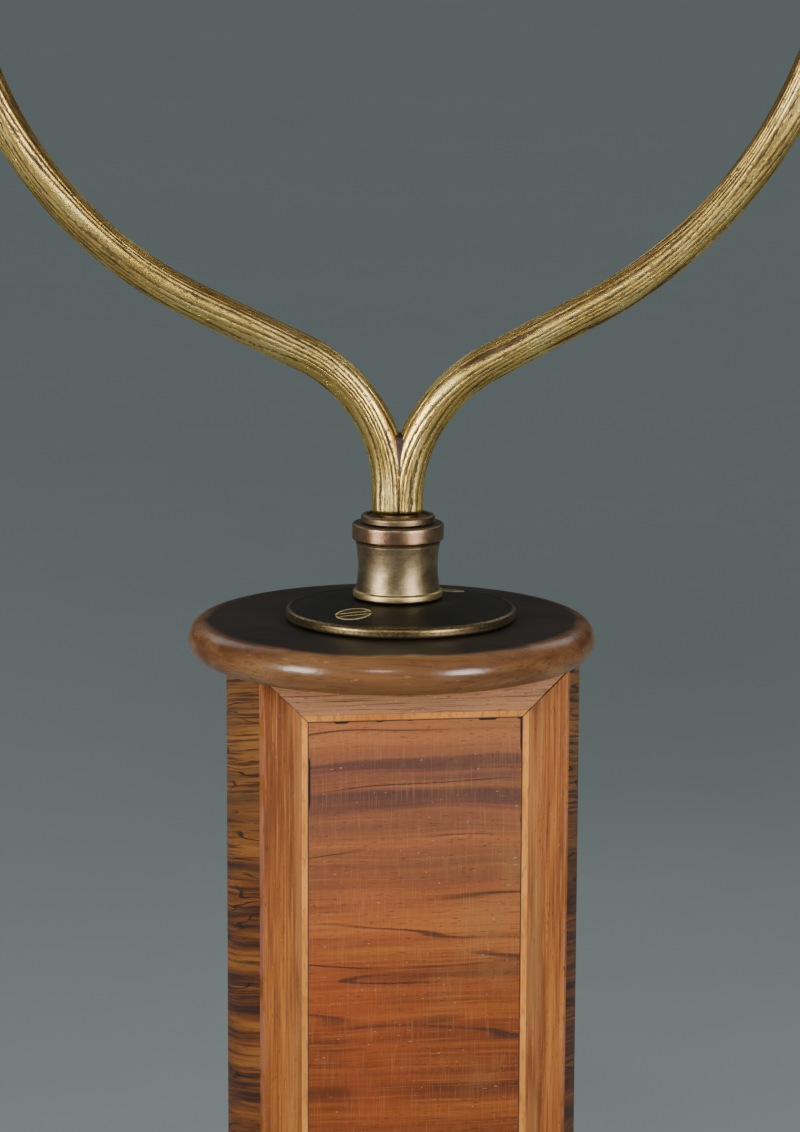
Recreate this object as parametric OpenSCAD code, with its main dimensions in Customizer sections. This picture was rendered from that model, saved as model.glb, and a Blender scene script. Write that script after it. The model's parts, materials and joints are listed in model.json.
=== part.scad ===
// Pedestal stereo viewer: a weighted round base, a veneered column, a swivelling brass fork of
// two bent rods, and a tilting wooden viewing head with rack focusing, light flap and glazed door.
// Millimetres, +Z up. The origin is the centre of the underside, on the fork's swivel axis.
// The eyepieces face -Y.

/* [Base] */
// Diameter of the plinth
plinth_d = 190; // [170:1:210]
// Thickness of the plinth
plinth_h = 18; // [16:0.5:22]
// Diameter of the step on the plinth
step_d = 136; // [120:1:150]
// Thickness of the step
step_h = 12; // [8:0.5:16]
// Thickness of the felt under the plinth
felt_t = 1.5; // [1:0.1:3]
// Diameter of the iron weight
weight_d = 120; // [90:1:140]
// Thickness of the iron weight
weight_h = 10; // [6:0.5:11]

/* [Column] */
// Height of the column
column_h = 200; // [160:1:240]
// Radius of the column's rounded sides
column_r = 38.8; // [36:0.1:42]
// Distance of the flat front and back faces from the column's axis
flat_y = 20.2; // [18:0.1:24]
// Thickness of the veneer and inlay
veneer_t = 1; // [0.8:0.1:1.5]
// Width of the cross-banding round each flat face
band_w = 8.3; // [6:0.1:10]
// Width of the pale stringing
string_w = 1.5; // [1:0.1:2.5]
// Turn of the column against the viewing head
column_yaw = 8; // [-15:1:15]
// Sideways wander of the column from the swivel axis
column_x = 1.2; // [-2:0.1:2]
// Diameter of the round cap
cap_d = 89.2; // [84:0.1:96]
// Thickness of the cap
cap_t = 8.5; // [7:0.1:11]
// Sideways wander of the cap from the swivel axis
cap_x = -1.3; // [-2:0.1:2]

/* [Flange and collar] */
// Diameter of the brass flange
flange_d = 50.6; // [46:0.1:56]
// Thickness of the flange's rim
flange_t = 2.6; // [2:0.1:3.5]
// Rise of the flange's dome above its rim
dome_h = 2.3; // [1.5:0.1:3]
// Sideways wander of the flange from the swivel axis
flange_x = 0.7; // [-1:0.1:1]
// Radius at which the flange screws sit
screw_ring_r = 17.4; // [15:0.1:18.5]
// Direction of the first flange screw
screw_angle = 234; // [0:1:360]
// Height of the collar with its top ring
collar_h = 18.4; // [16:0.1:22]
// Largest radius of the collar, at its belt
belt_r = 10.05; // [9.5:0.05:11]
// Radius of the collar's waist
waist_r = 8.4; // [7.8:0.05:9]
// Radius of the collar's foot
foot_r = 9.8; // [9.4:0.05:10.2]
// Radius of the ring that turns with the fork
top_ring_r = 8.1; // [7.5:0.05:9]
// Height of the ring that turns with the fork
top_ring_h = 1.75; // [1.5:0.05:2.5]

/* [Fork] */
// Radius of each fork rod
rod_r = 4.0; // [3.6:0.1:4.4]
// Distance of the rods' upper parts from the swivel axis
arm_x = 95.4; // [93:0.1:98]
// Height of the tilting axis above the collar
pivot_rise = 182; // [176:0.5:190]
// Where the two rods meet, from the swivel axis
seam_x = 0.4; // [0:0.1:1]
// Offset of each rod's root from the swivel axis, left and right
root_x = [1.8, 1.4]; // [1:0.1:2.5]
// Upright length of each rod's root, left and right
root_h = [5.4, 2.4]; // [1:0.1:8]
// Radius of each rod's lower bend, left and right
bend_r = [33, 35]; // [28:1:40]
// Lean of each rod between its bends, from upright, left and right
lean = [64.7, 61.6]; // [55:0.1:70]
// Straight length of each rod between its bends
slant_l = 25.2; // [20:0.1:30]
// Radius of the eye at the top of each rod
eye_r = 7; // [6:0.1:8]
// Radius of the stem that turns in the collar
stem_r = 4.5; // [4:0.1:5]

/* [Viewing head] */
// Width of the head
head_w = 178; // [174:1:180]
// Distance of the head's front from the tilting axis
head_front = 60; // [55:1:70]
// Distance of the head's back from the tilting axis
head_back = 76; // [70:1:90]
// Height of the head at its front
front_h = 84; // [82:1:90]
// Height of the head at its back
back_h = 108; // [104:1:116]
// Thickness of the head's boards
board_t = 4; // [3.5:0.1:4.5]
// Thickness of the card slot
card_gap = 5.5; // [5:0.1:7]
// Height of the card slot
card_h = 89; // [88:0.5:92]
// Front of the card slot, from the tilting axis
card_y = 62; // [58:0.5:62]
// Length of the light flap from its hinge
flap_l = 90; // [70:1:90]

/* [Eyepieces and focusing] */
// Distance between the two optical axes
eye_gap = 64; // [60:0.5:68]
// Radius of the eyepiece tubes
tube_r = 19; // [17:0.5:20]
// Length of the eyepiece tubes in front of the lens board
tube_l = 16; // [12:0.5:20]
// Half width of the sliding lens carriage
carriage_x = 78; // [74:0.5:80]
// Half height of the sliding lens carriage
carriage_z = 27; // [25:0.5:28]
// Length of the lens carriage behind its board
carriage_l = 40; // [36:1:42]
// Module of the rack and pinion teeth
tooth_m = 0.7; // [0.6:0.05:0.7]
// Teeth on each focusing pinion
pinion_teeth = 12; // [12:1:13]

/* [Hidden] */
$fn = 64;
gap = 0.3;          // space between parts that move past each other
run = 0.05;         // radial clearance of a running fit
eps = 0.01;
far = 200;

// heights of the pedestal
plinth_z = felt_t;
step_z = plinth_z + plinth_h;
column_z = step_z + step_h;
cap_z = column_z + column_h;
flange_z = cap_z + cap_t;
rim_z = flange_z + flange_t;
collar_z = rim_z + dome_h;
fork_z = collar_z + collar_h;
pivot_z = fork_z + pivot_rise;

// the dome is part of a sphere that reaches the rim's inner edge
dome_r = flange_d / 2 - 1.8;
dome_sphere = (dome_r * dome_r + dome_h * dome_h) / (2 * dome_h);
screw_tilt = asin(screw_ring_r / dome_sphere);
screw_z = rim_z + dome_h - dome_sphere * (1 - cos(screw_tilt));
screw_head_r = 4.05;
screw_head_h = 2.3;
screw_shank_r = 1.7;
screw_l = 15;

// swivel stem, washer and nut inside the head of the column
well_r = 14;
well_h = 18;
washer_t = 1.6;
nut_h = 6;

// long screw that holds the base to the column
bolt_r = 4;
bolt_l = 62;
bolt_head_r = 7.5;
bolt_head_h = 5.5;
base_screw_ring = 42;

// tilting axis
head_x = head_w / 2;
inner_x = head_x - board_t;
eye_t = 2 * rod_r + 0.4;
stud_r = 2.5;
rod_lap = 0.5;
plate_t = 1.1;
plate_r = 15;
bush_r = 5;
bush_l = 6.5;
thumb_r = 10;
thumb_h = 7;
thumb_x = arm_x + eye_t / 2 + gap;

// slope of the head's top and bottom boards
head_l = head_front + head_back;
slope = atan((back_h - front_h) / 2 / head_l);
slope_l = head_l / cos(slope);
board_v = board_t / cos(slope);
function half_h(y) = front_h / 2 + tan(slope) * (y + head_front);
function inner_h(y) = half_h(y) - board_v;

// light flap, measured along the sloping top from the head's front edge
flap_y0 = slope_l - 8 - flap_l;
flap_y1 = slope_l - 8;
mirror_t = 2.2;

// hinges
knuckle_r = 2;
hinge_pin_r = 1;
hinge_rise = knuckle_r + gap;
leaf_t = 1;
leaf_l = 9;
hinge_half = 15;
middle_half = 5;
hinge_x = 52;

// rear door
door_t = 6;
door_y = head_back + gap;
window_x = 80;
window_z = 44;
pane_t = 2;
rebate = 2;

// lens carriage and focusing
carriage_t = 3;
lens_board_t = 5.7;
lens_board_y = -head_front - gap - lens_board_t;
pitch_r = tooth_m * pinion_teeth / 2;
addendum = 0.8 * tooth_m;
dedendum = 1.25 * tooth_m;
rack_back = 1.5;
rack_w = 6;
rack_x = 60;
pitch_z = -carriage_z - rack_back - dedendum;
shaft_z = pitch_z - pitch_r;
shaft_y = -40;
shaft_r = 2;
knob_r = 9;
knob_w = 7;
pressure = 20;
backlash = 0.12;
lens_r = tube_r - 2;
lens_y = lens_board_y - 4;

walnut = [0.36, 0.20, 0.11];
kingwood = [0.55, 0.25, 0.13];
boxwood = [0.80, 0.55, 0.30];
pine = [0.80, 0.66, 0.45];
brass = [0.72, 0.56, 0.26];
old_brass = [0.34, 0.28, 0.20];
steel = [0.55, 0.55, 0.56];
iron = [0.22, 0.22, 0.23];
ebony = [0.06, 0.05, 0.05];
black = [0.08, 0.08, 0.08];

// ---- shared shapes ----

// disc with a half-round edge
module bullnose(r, h) {
  rotate_extrude() {
    square([r - h / 2, h]);
    translate([r - h / 2, h / 2]) intersection() {
      circle(h / 2);
      translate([0, -h]) square([h, 2 * h]);
    }
  }
}

// disc whose edge is rounded at its top and bottom
module soft_disc(r, h, edge) {
  rotate_extrude() {
    square([r - edge, h]);
    translate([0, edge]) square([r, h - 2 * edge]);
    for (z = [edge, h - edge]) translate([r - edge, z]) circle(edge, $fn = 32);
  }
}

// cylinder along +X
module rod_x(r, l) {
  rotate([0, 90, 0]) cylinder(r = r, h = l);
}

// cylinder along -Y
module rod_front(r, l) {
  rotate([90, 0, 0]) cylinder(r = r, h = l);
}

// outline in Y and Z, drawn out along X and centred there
module across(w) {
  rotate([90, 0, 90]) translate([0, 0, -w / 2]) linear_extrude(w) children();
}

module both_sides() {
  children();
  mirror([1, 0, 0]) children();
}

module at_pivot() {
  translate([0, 0, pivot_z]) children();
}

// local frame of the sloping top: origin on its front edge, +Y up the slope, +Z outwards
module on_top() {
  at_pivot() translate([0, -head_front, front_h / 2]) rotate([slope, 0, 0]) children();
}

module at_column() {
  translate([column_x, 0, column_z]) rotate([0, 0, column_yaw]) children();
}

// countersunk wood screw, its head's top at the origin
module wood_screw(head_r, head_h, shank_r, l, slotted) {
  difference() {
    union() {
      translate([0, 0, -head_h]) cylinder(r1 = shank_r, r2 = head_r, h = head_h);
      translate([0, 0, -l]) cylinder(r = shank_r, h = l - head_h + eps);
    }
    if (slotted) translate([-head_r, -0.5, -1]) cube([2 * head_r, 1, 2]);
  }
}

// ---- base ----

module felt_pad() {
  color([0.12, 0.25, 0.16]) cylinder(r = plinth_d / 2 - 3, h = felt_t);
}

module base_screw_set(slotted) {
  for (a = [30, 150, 270])
    rotate([0, 0, a]) translate([base_screw_ring, 0, plinth_z]) rotate([180, 0, 0])
      wood_screw(4, 3, 2, 15, slotted);
}

module base_weight() {
  color(iron) difference() {
    translate([0, 0, plinth_z]) cylinder(r = weight_d / 2, h = weight_h);
    translate([0, 0, plinth_z - 1]) cylinder(r = 12, h = weight_h + 2);
    base_screw_set(false);
  }
}

module base_screws() {
  color(brass) base_screw_set(true);
}

module bolt_shape() {
  translate([0, 0, plinth_z + weight_h]) cylinder(r = bolt_r, h = bolt_l);
}

module base_plinth() {
  color(walnut) difference() {
    translate([0, 0, plinth_z]) bullnose(plinth_d / 2, plinth_h);
    translate([0, 0, plinth_z - 1]) cylinder(r = weight_d / 2, h = weight_h + 1);
    bolt_shape();
    base_screw_set(false);
  }
}

module base_step() {
  color(walnut) difference() {
    translate([0, 0, step_z]) bullnose(step_d / 2, step_h);
    bolt_shape();
  }
}

module column_bolt() {
  top = plinth_z + weight_h;
  color(steel) {
    bolt_shape();
    translate([0, 0, top - 1.5]) cylinder(r = 10, h = 1.5);
    translate([0, 0, top - 1.5 - bolt_head_h])
      cylinder(r = bolt_head_r, h = bolt_head_h + eps, $fn = 6);
  }
}

// ---- column ----

// plan of a round column with two flats
module column_plan(r, y) {
  intersection() {
    circle(r, $fn = 128);
    square([2 * far, 2 * y], center = true);
  }
}

module stem_well() {
  translate([0, 0, cap_z - well_h]) cylinder(r = well_r, h = well_h + eps);
}

module flange_screw_set(slotted) {
  for (a = [0, 180])
    translate([flange_x, 0, 0]) rotate([0, 0, screw_angle + a])
      translate([screw_ring_r, 0, screw_z]) rotate([0, screw_tilt, 0])
        rotate([0, 0, -50]) wood_screw(screw_head_r, screw_head_h, screw_shank_r, screw_l, slotted);
}

module column_core() {
  color(pine) difference() {
    at_column() linear_extrude(column_h) column_plan(column_r - veneer_t, flat_y - veneer_t);
    bolt_shape();
    stem_well();
    flange_screw_set(false);
  }
}

module side_veneers() {
  color(kingwood) at_column() linear_extrude(column_h) difference() {
    column_plan(column_r, flat_y - veneer_t);
    circle(column_r - veneer_t, $fn = 128);
  }
}

// half width of the flat faces
flat_x = sqrt(column_r * column_r - flat_y * flat_y);
string_x = flat_x - band_w;
panel_x = string_x - string_w;
mitre_gap = 0.06;

// saw cuts of the mitres at the four corners of the flat faces
module mitres() {
  at_column() for (x = [-1, 1], z = [0, 1])
    translate([x * flat_x, 0, z * column_h])
      rotate([0, (x > 0 ? 1 : -1) * (z > 0 ? -45 : 45), 0])
        cube([2 * (band_w + string_w) * sqrt(2) + 1, far, mitre_gap], center = true);
}

// layer of veneer on both flat faces, from one inset rectangle to another
module face_layer(x_out, margin_out, x_in, margin_in) {
  at_column() for (s = [-1, 1])
    intersection() {
      linear_extrude(column_h) column_plan(column_r, flat_y);
      difference() {
        translate([-x_out, s > 0 ? flat_y - veneer_t : -flat_y, margin_out])
          cube([2 * x_out, veneer_t, column_h - 2 * margin_out]);
        if (x_in > 0) translate([-x_in, -far, margin_in])
          cube([2 * x_in, 2 * far, column_h - 2 * margin_in]);
      }
    }
}

module column_panels() {
  margin = band_w + string_w;
  color(kingwood) face_layer(panel_x, margin, 0, 0);
}

module stringing() {
  color(boxwood) difference() {
    face_layer(string_x, band_w, panel_x, band_w + string_w);
    mitres();
  }
}

module crossbanding() {
  color(kingwood) difference() {
    face_layer(column_r, 0, string_x, band_w);
    mitres();
  }
}

module column_cap() {
  color(walnut) difference() {
    translate([cap_x, 0, cap_z]) bullnose(cap_d / 2, cap_t);
    translate([0, 0, cap_z - 1]) cylinder(r = stem_r + 0.5, h = cap_t + 2);
    flange_screw_set(false);
  }
}

// ---- flange and collar ----

module flange_plate() {
  color(old_brass) difference() {
    union() {
      translate([flange_x, 0, flange_z]) bullnose(flange_d / 2, flange_t);
      translate([flange_x, 0, 0]) intersection() {
        translate([0, 0, collar_z - dome_sphere]) sphere(dome_sphere, $fn = 96);
        translate([0, 0, rim_z - 1]) cylinder(r = dome_r, h = dome_h + 1);
      }
      translate([0, 0, rim_z]) cylinder(r = foot_r + 0.4, h = dome_h);
    }
    translate([0, 0, flange_z - 1]) cylinder(r = stem_r + 0.3, h = flange_t + dome_h + 2);
    flange_screw_set(false);
  }
}

module flange_screws() {
  color(brass) flange_screw_set(true);
}

// turned socket: rounded foot, hollow waist and flat belt
module collar() {
  body_h = collar_h - top_ring_h - gap;
  belt_h = 3.4;
  belt_edge = 0.6;
  waist_z = body_h / 2 - 1;
  hollow_r = 28;
  color(old_brass) translate([0, 0, collar_z]) difference() {
    union() {
      rotate_extrude() difference() {
        square([belt_r - 0.5, body_h]);
        translate([waist_r + hollow_r, waist_z]) circle(hollow_r, $fn = 160);
      }
      bullnose(foot_r, 1.6);
      translate([0, 0, body_h - belt_h]) soft_disc(belt_r, belt_h, belt_edge);
    }
    translate([0, 0, -1]) cylinder(r = stem_r + run, h = body_h + 2);
  }
}

// ---- fork ----

module top_ring() {
  color(old_brass) translate([0, 0, fork_z - top_ring_h]) difference() {
    bullnose(top_ring_r, top_ring_h);
    translate([0, 0, -1]) cylinder(r = stem_r, h = top_ring_h + 2);
  }
}

stem_bottom = cap_z - gap - washer_t - nut_h - 2;

module fork_stem() {
  color(brass) translate([0, 0, stem_bottom]) cylinder(r = stem_r, h = fork_z - stem_bottom);
}

module stem_washer() {
  color(steel) translate([0, 0, cap_z - gap - washer_t]) difference() {
    cylinder(r = 11, h = washer_t);
    translate([0, 0, -1]) cylinder(r = stem_r, h = washer_t + 2);
  }
}

module stem_nut() {
  color(steel) translate([0, 0, cap_z - gap - washer_t - nut_h]) difference() {
    cylinder(r = 8.5, h = nut_h, $fn = 6);
    translate([0, 0, -1]) cylinder(r = stem_r, h = nut_h + 2);
  }
}

// bend of a rod in the XZ plane about a centre, between two angles from +X
module rod_bend(cx, cz, r, from, sweep) {
  translate([cx, 0, cz]) rotate([90, 0, 0]) rotate([0, 0, from])
    rotate_extrude(angle = sweep, $fn = 128) translate([r, 0]) circle(rod_r, $fn = 48);
}

// straight piece of a rod in the XZ plane, leaning from upright; it is a hair stouter than the
// bends and reaches a little way into them, so that the rod is one solid
module rod_straight(x, z, a, l) {
  translate([x, 0, z]) rotate([0, a, 0]) translate([0, 0, -rod_lap])
    cylinder(r = rod_r + 0.02, h = l + 2 * rod_lap, $fn = 48);
}

// one rod of the fork, bent outwards and then upwards, with an eye at its top
module bent_rod(i, seam) {
  a = lean[i];
  x1 = root_x[i] + bend_r[i] * (1 - cos(a));
  z1 = root_h[i] + bend_r[i] * sin(a);
  x2 = x1 + slant_l * sin(a);
  z2 = z1 + slant_l * cos(a);
  upper_r = (arm_x - x2) / (1 - cos(a));
  z3 = z2 + upper_r * sin(a);
  translate([0, 0, fork_z]) difference() {
    union() {
      rod_straight(root_x[i], rod_lap, 0, root_h[i] - rod_lap);
      rod_bend(root_x[i] + bend_r[i], root_h[i], bend_r[i], 180 - a, a);
      rod_straight(x1, z1, a, slant_l);
      rod_bend(arm_x - upper_r, z3, upper_r, -a, a);
      rod_straight(arm_x, z3, 0, pivot_rise - z3);
      translate([arm_x - eye_t / 2, 0, pivot_rise]) rod_x(eye_r, eye_t);
    }
    translate([seam - far, -far / 2, -1]) cube([far, far, 40]);
    translate([arm_x - far / 2, 0, pivot_rise]) rod_x(stud_r + run, far);
  }
}

module right_arm() {
  color(brass) bent_rod(1, seam_x);
}

module left_arm() {
  color(brass) mirror([1, 0, 0]) bent_rod(0, -seam_x);
}

// brazed web that fills the root of the fork
module crotch_web() {
  color(old_brass) translate([seam_x, 0, fork_z]) rotate([90, 0, 0])
    translate([0, 0, -1.6]) linear_extrude(3.2)
      polygon([[-0.8, 10], [0.8, 10], [1.8, 18.4], [0.6, 17.6], [-0.9, 17.6], [-2, 18.4]]);
}

module friction_washers() {
  color(black) at_pivot() both_sides() translate([arm_x - eye_t / 2 - 0.8, 0, 0]) difference() {
    rod_x(eye_r, 0.8);
    translate([-1, 0, 0]) rod_x(stud_r + run, 3);
  }
}

// clamping screw with a milled head
module thumbscrew() {
  stud_x = head_x - 6;
  at_pivot() translate([stud_x, 0, 0]) rotate([0, 90, 0]) rotate_extrude() polygon([
    [0, 0], [stud_r, 0], [stud_r, thumb_x - stud_x], [6, thumb_x - stud_x],
    [6, thumb_x + 1.5 - stud_x], [thumb_r - 0.8, thumb_x + 1.5 - stud_x],
    [thumb_r, thumb_x + 2.3 - stud_x], [thumb_r, thumb_x + thumb_h - 0.8 - stud_x],
    [thumb_r - 0.8, thumb_x + thumb_h - stud_x], [6, thumb_x + thumb_h - stud_x],
    [4.5, thumb_x + thumb_h + 1 - stud_x], [0, thumb_x + thumb_h + 1.5 - stud_x]
  ]);
}

module left_thumbscrew() {
  color(brass) mirror([1, 0, 0]) thumbscrew();
}

module right_thumbscrew() {
  color(brass) thumbscrew();
}

// ---- viewing head ----

// side board with its card slot, tilting bush hole and focusing shaft hole
module side_board() {
  difference() {
    at_pivot() translate([inner_x + board_t / 2, 0, 0]) across(board_t) polygon([
      [-head_front, -front_h / 2],
      [head_back, -back_h / 2],
      [head_back, back_h / 2],
      [-head_front, front_h / 2]
    ]);
    at_pivot() {
      translate([inner_x - 1, card_y, -card_h / 2]) cube([board_t + 2, card_gap, card_h]);
      translate([inner_x - 1, 0, 0]) rod_x(bush_r, board_t + 2);
      translate([inner_x - 1, shaft_y, shaft_z]) rod_x(4, board_t + 2);
    }
    plate_screw_set(false);
  }
}

module left_side() {
  color(kingwood) mirror([1, 0, 0]) side_board();
}

module right_side() {
  color(kingwood) side_board();
}

module bottom_board() {
  color(kingwood) at_pivot() across(2 * inner_x) polygon([
    [-head_front, -front_h / 2],
    [head_back, -back_h / 2],
    [head_back, -back_h / 2 + board_v],
    [-head_front, -front_h / 2 + board_v]
  ]);
}

// how far a plumb face leans back through a top board's thickness
plumb = board_t * tan(slope);

module top_front() {
  color(kingwood) on_top() across(2 * inner_x) polygon([
    [-plumb, -board_t],
    [flap_y0, -board_t],
    [flap_y0, 0],
    [0, 0]
  ]);
}

module top_rear() {
  color(kingwood) on_top() across(2 * inner_x) polygon([
    [flap_y1, -board_t],
    [slope_l - plumb, -board_t],
    [slope_l, 0],
    [flap_y1, 0]
  ]);
}

// frame that the lens carriage slides through
module front_frame() {
  z = inner_h(-head_front) - 0.05;
  color(walnut) at_pivot() translate([0, -head_front, 0]) difference() {
    translate([-inner_x, 0, -z]) cube([2 * inner_x, board_t, 2 * z]);
    translate([-carriage_x - gap, -1, -carriage_z - gap])
      cube([2 * (carriage_x + gap), board_t + 2, 2 * (carriage_z + gap)]);
    for (x = [-rack_x, rack_x]) translate([x - rack_w / 2 - gap, -1, shaft_z])
      cube([rack_w + 2 * gap, board_t + 2, -shaft_z]);
  }
}

septum_y0 = -head_front + carriage_l + 2;
septum_y1 = card_y - 4;

module septum() {
  clear = mirror_t + 1;
  color(black) at_pivot() across(3) polygon([
    [septum_y0, -inner_h(septum_y0)],
    [septum_y1, -inner_h(septum_y1)],
    [septum_y1, inner_h(septum_y1) - clear],
    [septum_y0, inner_h(septum_y0) - clear]
  ]);
}

// grooved rails that the card slides in, below and above
module card_rails() {
  lip = 3;
  y0 = card_y - lip;
  z = inner_h(y0) - 0.05;
  color(walnut) at_pivot() for (m = [0, 1]) mirror([0, 0, m]) difference() {
    translate([-inner_x, y0, -z]) cube([2 * inner_x, card_gap + 2 * lip, z - card_h / 2 + lip]);
    translate([-inner_x - 1, card_y, -card_h / 2]) cube([2 * inner_x + 2, card_gap, card_h]);
  }
}

module plate_screw_set(slotted) {
  at_pivot() for (a = [90, 210, 330])
    translate([head_x + plate_t, 11 * cos(a), 11 * sin(a)]) rotate([0, 90, 0])
      wood_screw(1.9, 1.1, 0.9, 4.6, slotted);
}

// round plate with a threaded bush for the clamping screw
module pivot_plates() {
  color(brass) both_sides() difference() {
    at_pivot() {
      translate([head_x, 0, 0]) rod_x(plate_r, plate_t);
      translate([head_x - bush_l, 0, 0]) rod_x(bush_r, bush_l + eps);
    }
    at_pivot() translate([head_x - far / 2, 0, 0]) rod_x(stud_r + run, far);
    plate_screw_set(false);
  }
}

module plate_screws() {
  color(brass) both_sides() difference() {
    plate_screw_set(false);
    at_pivot() for (a = [90, 210, 330])
      translate([head_x + plate_t - 0.5, 11 * cos(a) - 2, 11 * sin(a) - 0.25]) cube([2, 4, 0.5]);
  }
}

module shaft_bushes() {
  color(brass) at_pivot() both_sides() translate([0, shaft_y, shaft_z]) difference() {
    union() {
      translate([inner_x, 0, 0]) rod_x(4, board_t);
      translate([head_x, 0, 0]) rod_x(6.5, 0.8);
    }
    translate([inner_x - 1, 0, 0]) rod_x(shaft_r + run, board_t + 4);
  }
}

// hinge in a frame with its pin on the X axis and the boards' surface below it;
// the fixed leaf lies towards -Y and the moving leaf towards +Y
module hinge_fixed(tilt) {
  for (s = [-1, 1]) translate([s * (hinge_half + middle_half) / 2, 0, 0]) {
    across(hinge_half - middle_half) circle(knuckle_r);
  }
  across(2 * hinge_half) circle(hinge_pin_r, $fn = 32);
  difference() {
    translate([0, 0, -hinge_rise]) rotate([tilt, 0, 0])
      translate([0.2 - hinge_half, -leaf_l, gap / 2 * sin(tilt)])
        cube([2 * hinge_half - 0.4, leaf_l, leaf_t]);
    translate([-middle_half - 0.2, -knuckle_r - gap, -far / 2])
      cube([2 * middle_half + 0.4, far, far]);
  }
}

module hinge_moving() {
  inner = middle_half - gap;
  difference() {
    union() {
      across(2 * inner) circle(knuckle_r);
      translate([-inner, gap / 2, -hinge_rise]) cube([2 * inner, leaf_l, leaf_t]);
      translate([-hinge_half, knuckle_r + gap, -hinge_rise])
        cube([2 * hinge_half, leaf_l - knuckle_r, leaf_t]);
    }
    across(2 * inner + 2) circle(hinge_pin_r + run, $fn = 32);
  }
}

module at_flap_hinges() {
  on_top() for (s = [-1, 1])
    translate([s * hinge_x, flap_y0 + gap / 2, hinge_rise]) children();
}

module at_door_hinges() {
  at_pivot() for (s = [-1, 1])
    translate([s * hinge_x, head_back + gap / 2, -back_h / 2 - hinge_rise])
      mirror([0, 0, 1]) children();
}

module flap_hinges() {
  color(brass) at_flap_hinges() hinge_fixed(0);
}

module door_hinges() {
  color(brass) at_door_hinges() hinge_fixed(slope);
}

// ---- lens carriage ----

module at_eyes() {
  at_pivot() for (s = [-1, 1]) translate([s * eye_gap / 2, lens_board_y, 0]) children();
}

module lens_board() {
  color(walnut) difference() {
    at_pivot() translate([-carriage_x - 4, lens_board_y, -carriage_z - 4])
      cube([2 * carriage_x + 8, lens_board_t, 2 * carriage_z + 8]);
    at_eyes() translate([0, lens_board_t + 1, 0]) rod_front(tube_r, lens_board_t + 2);
  }
}

module carriage_sleeve() {
  y = lens_board_y + lens_board_t;
  color(walnut) at_pivot() difference() {
    translate([-carriage_x, y, -carriage_z]) cube([2 * carriage_x, carriage_l, 2 * carriage_z]);
    translate([-carriage_x + carriage_t, y - 1, -carriage_z + carriage_t])
      cube([2 * (carriage_x - carriage_t), carriage_l + 2, 2 * (carriage_z - carriage_t)]);
  }
}

module carriage_septum() {
  y = lens_board_y + lens_board_t;
  z = carriage_z - carriage_t;
  color(black) at_pivot() translate([-1.5, y, -z]) cube([3, carriage_l, 2 * z]);
}

// turned eyepiece tube with a flange against the lens board
module tube(s) {
  at_pivot() translate([s * eye_gap / 2, lens_board_y, 0]) difference() {
    union() {
      translate([0, lens_board_t, 0]) rod_front(tube_r, lens_board_t + tube_l);
      rod_front(tube_r + 4, 1.6);
      translate([0, 1.6 - tube_l, 0]) rod_front(tube_r + 1, 1.6);
    }
    translate([0, lens_board_t + 1, 0]) rod_front(lens_r, lens_board_t + tube_l + 2);
  }
}

module left_tube() {
  color(brass) tube(-1);
}

module right_tube() {
  color(brass) tube(1);
}

// each face of a lens is part of a ball
bulge = 3;
lens_edge = 2;
ball = (lens_r * lens_r + bulge * bulge) / (2 * bulge);
ring_w = 1.6;
// height of a lens face above its edge, where the retaining ring bears on it
ring_seat = sqrt(ball * ball - pow(lens_r - ring_w, 2)) - ball + bulge;

// double-convex lens
module lens(s) {
  at_pivot() translate([s * eye_gap / 2, lens_y, 0]) intersection() {
    translate([0, bulge + lens_edge, 0]) rod_front(lens_r, 2 * bulge + 2 * lens_edge);
    translate([0, ball - bulge - lens_edge / 2, 0]) sphere(ball, $fn = 128);
    translate([0, bulge + lens_edge / 2 - ball, 0]) sphere(ball, $fn = 128);
  }
}

module left_lens() {
  color([0.8, 0.9, 0.95, 0.4]) lens(-1);
}

module right_lens() {
  color([0.8, 0.9, 0.95, 0.4]) lens(1);
}

module lens_rings() {
  color(brass) at_pivot() for (s = [-1, 1])
    translate([s * eye_gap / 2, lens_y - lens_edge / 2 - ring_seat, 0]) difference() {
      rod_front(lens_r, 2);
      translate([0, 1, 0]) rod_front(lens_r - ring_w, 4);
    }
}

// flared cup on the front of an eyepiece tube
module eyecup(s) {
  cup_l = 12;
  at_pivot() translate([s * eye_gap / 2, lens_board_y - tube_l, 0]) rotate([90, 0, 0])
    rotate_extrude($fn = 96) difference() {
      polygon([
        [lens_r, 0], [tube_r + 1, 0], [tube_r + 1.5, 3], [tube_r + 3.4, 8],
        [tube_r + 5, cup_l - 1], [tube_r + 4.4, cup_l], [tube_r + 3, cup_l]
      ]);
      translate([lens_r - 0.5, -1]) square([0.5, 3]);
    }
}

module left_eyecup() {
  color(ebony) eyecup(-1);
}

module right_eyecup() {
  color(ebony) eyecup(1);
}

// ---- focusing ----

tooth_pitch = PI * tooth_m;
tooth_half = tooth_pitch / 4 - backlash / 2;

// half angle of an involute tooth at radius r, from its half width at the pitch circle
base_r = pitch_r * cos(pressure);
function roll_angle(r) = sqrt(max(0, pow(r / base_r, 2) - 1)) * 180 / PI;
function involute(r) = roll_angle(r) - atan(roll_angle(r) * PI / 180);
function tooth_angle(r) = tooth_half / pitch_r * 180 / PI + involute(pitch_r) - involute(r);
flank_steps = 5;
tip_r = pitch_r + addendum;
root_r = pitch_r - dedendum;
function flank_r(i) = max(base_r, root_r) + (tip_r - max(base_r, root_r)) * i / flank_steps;
function polar(r, a) = [r * cos(a), r * sin(a)];

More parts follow.
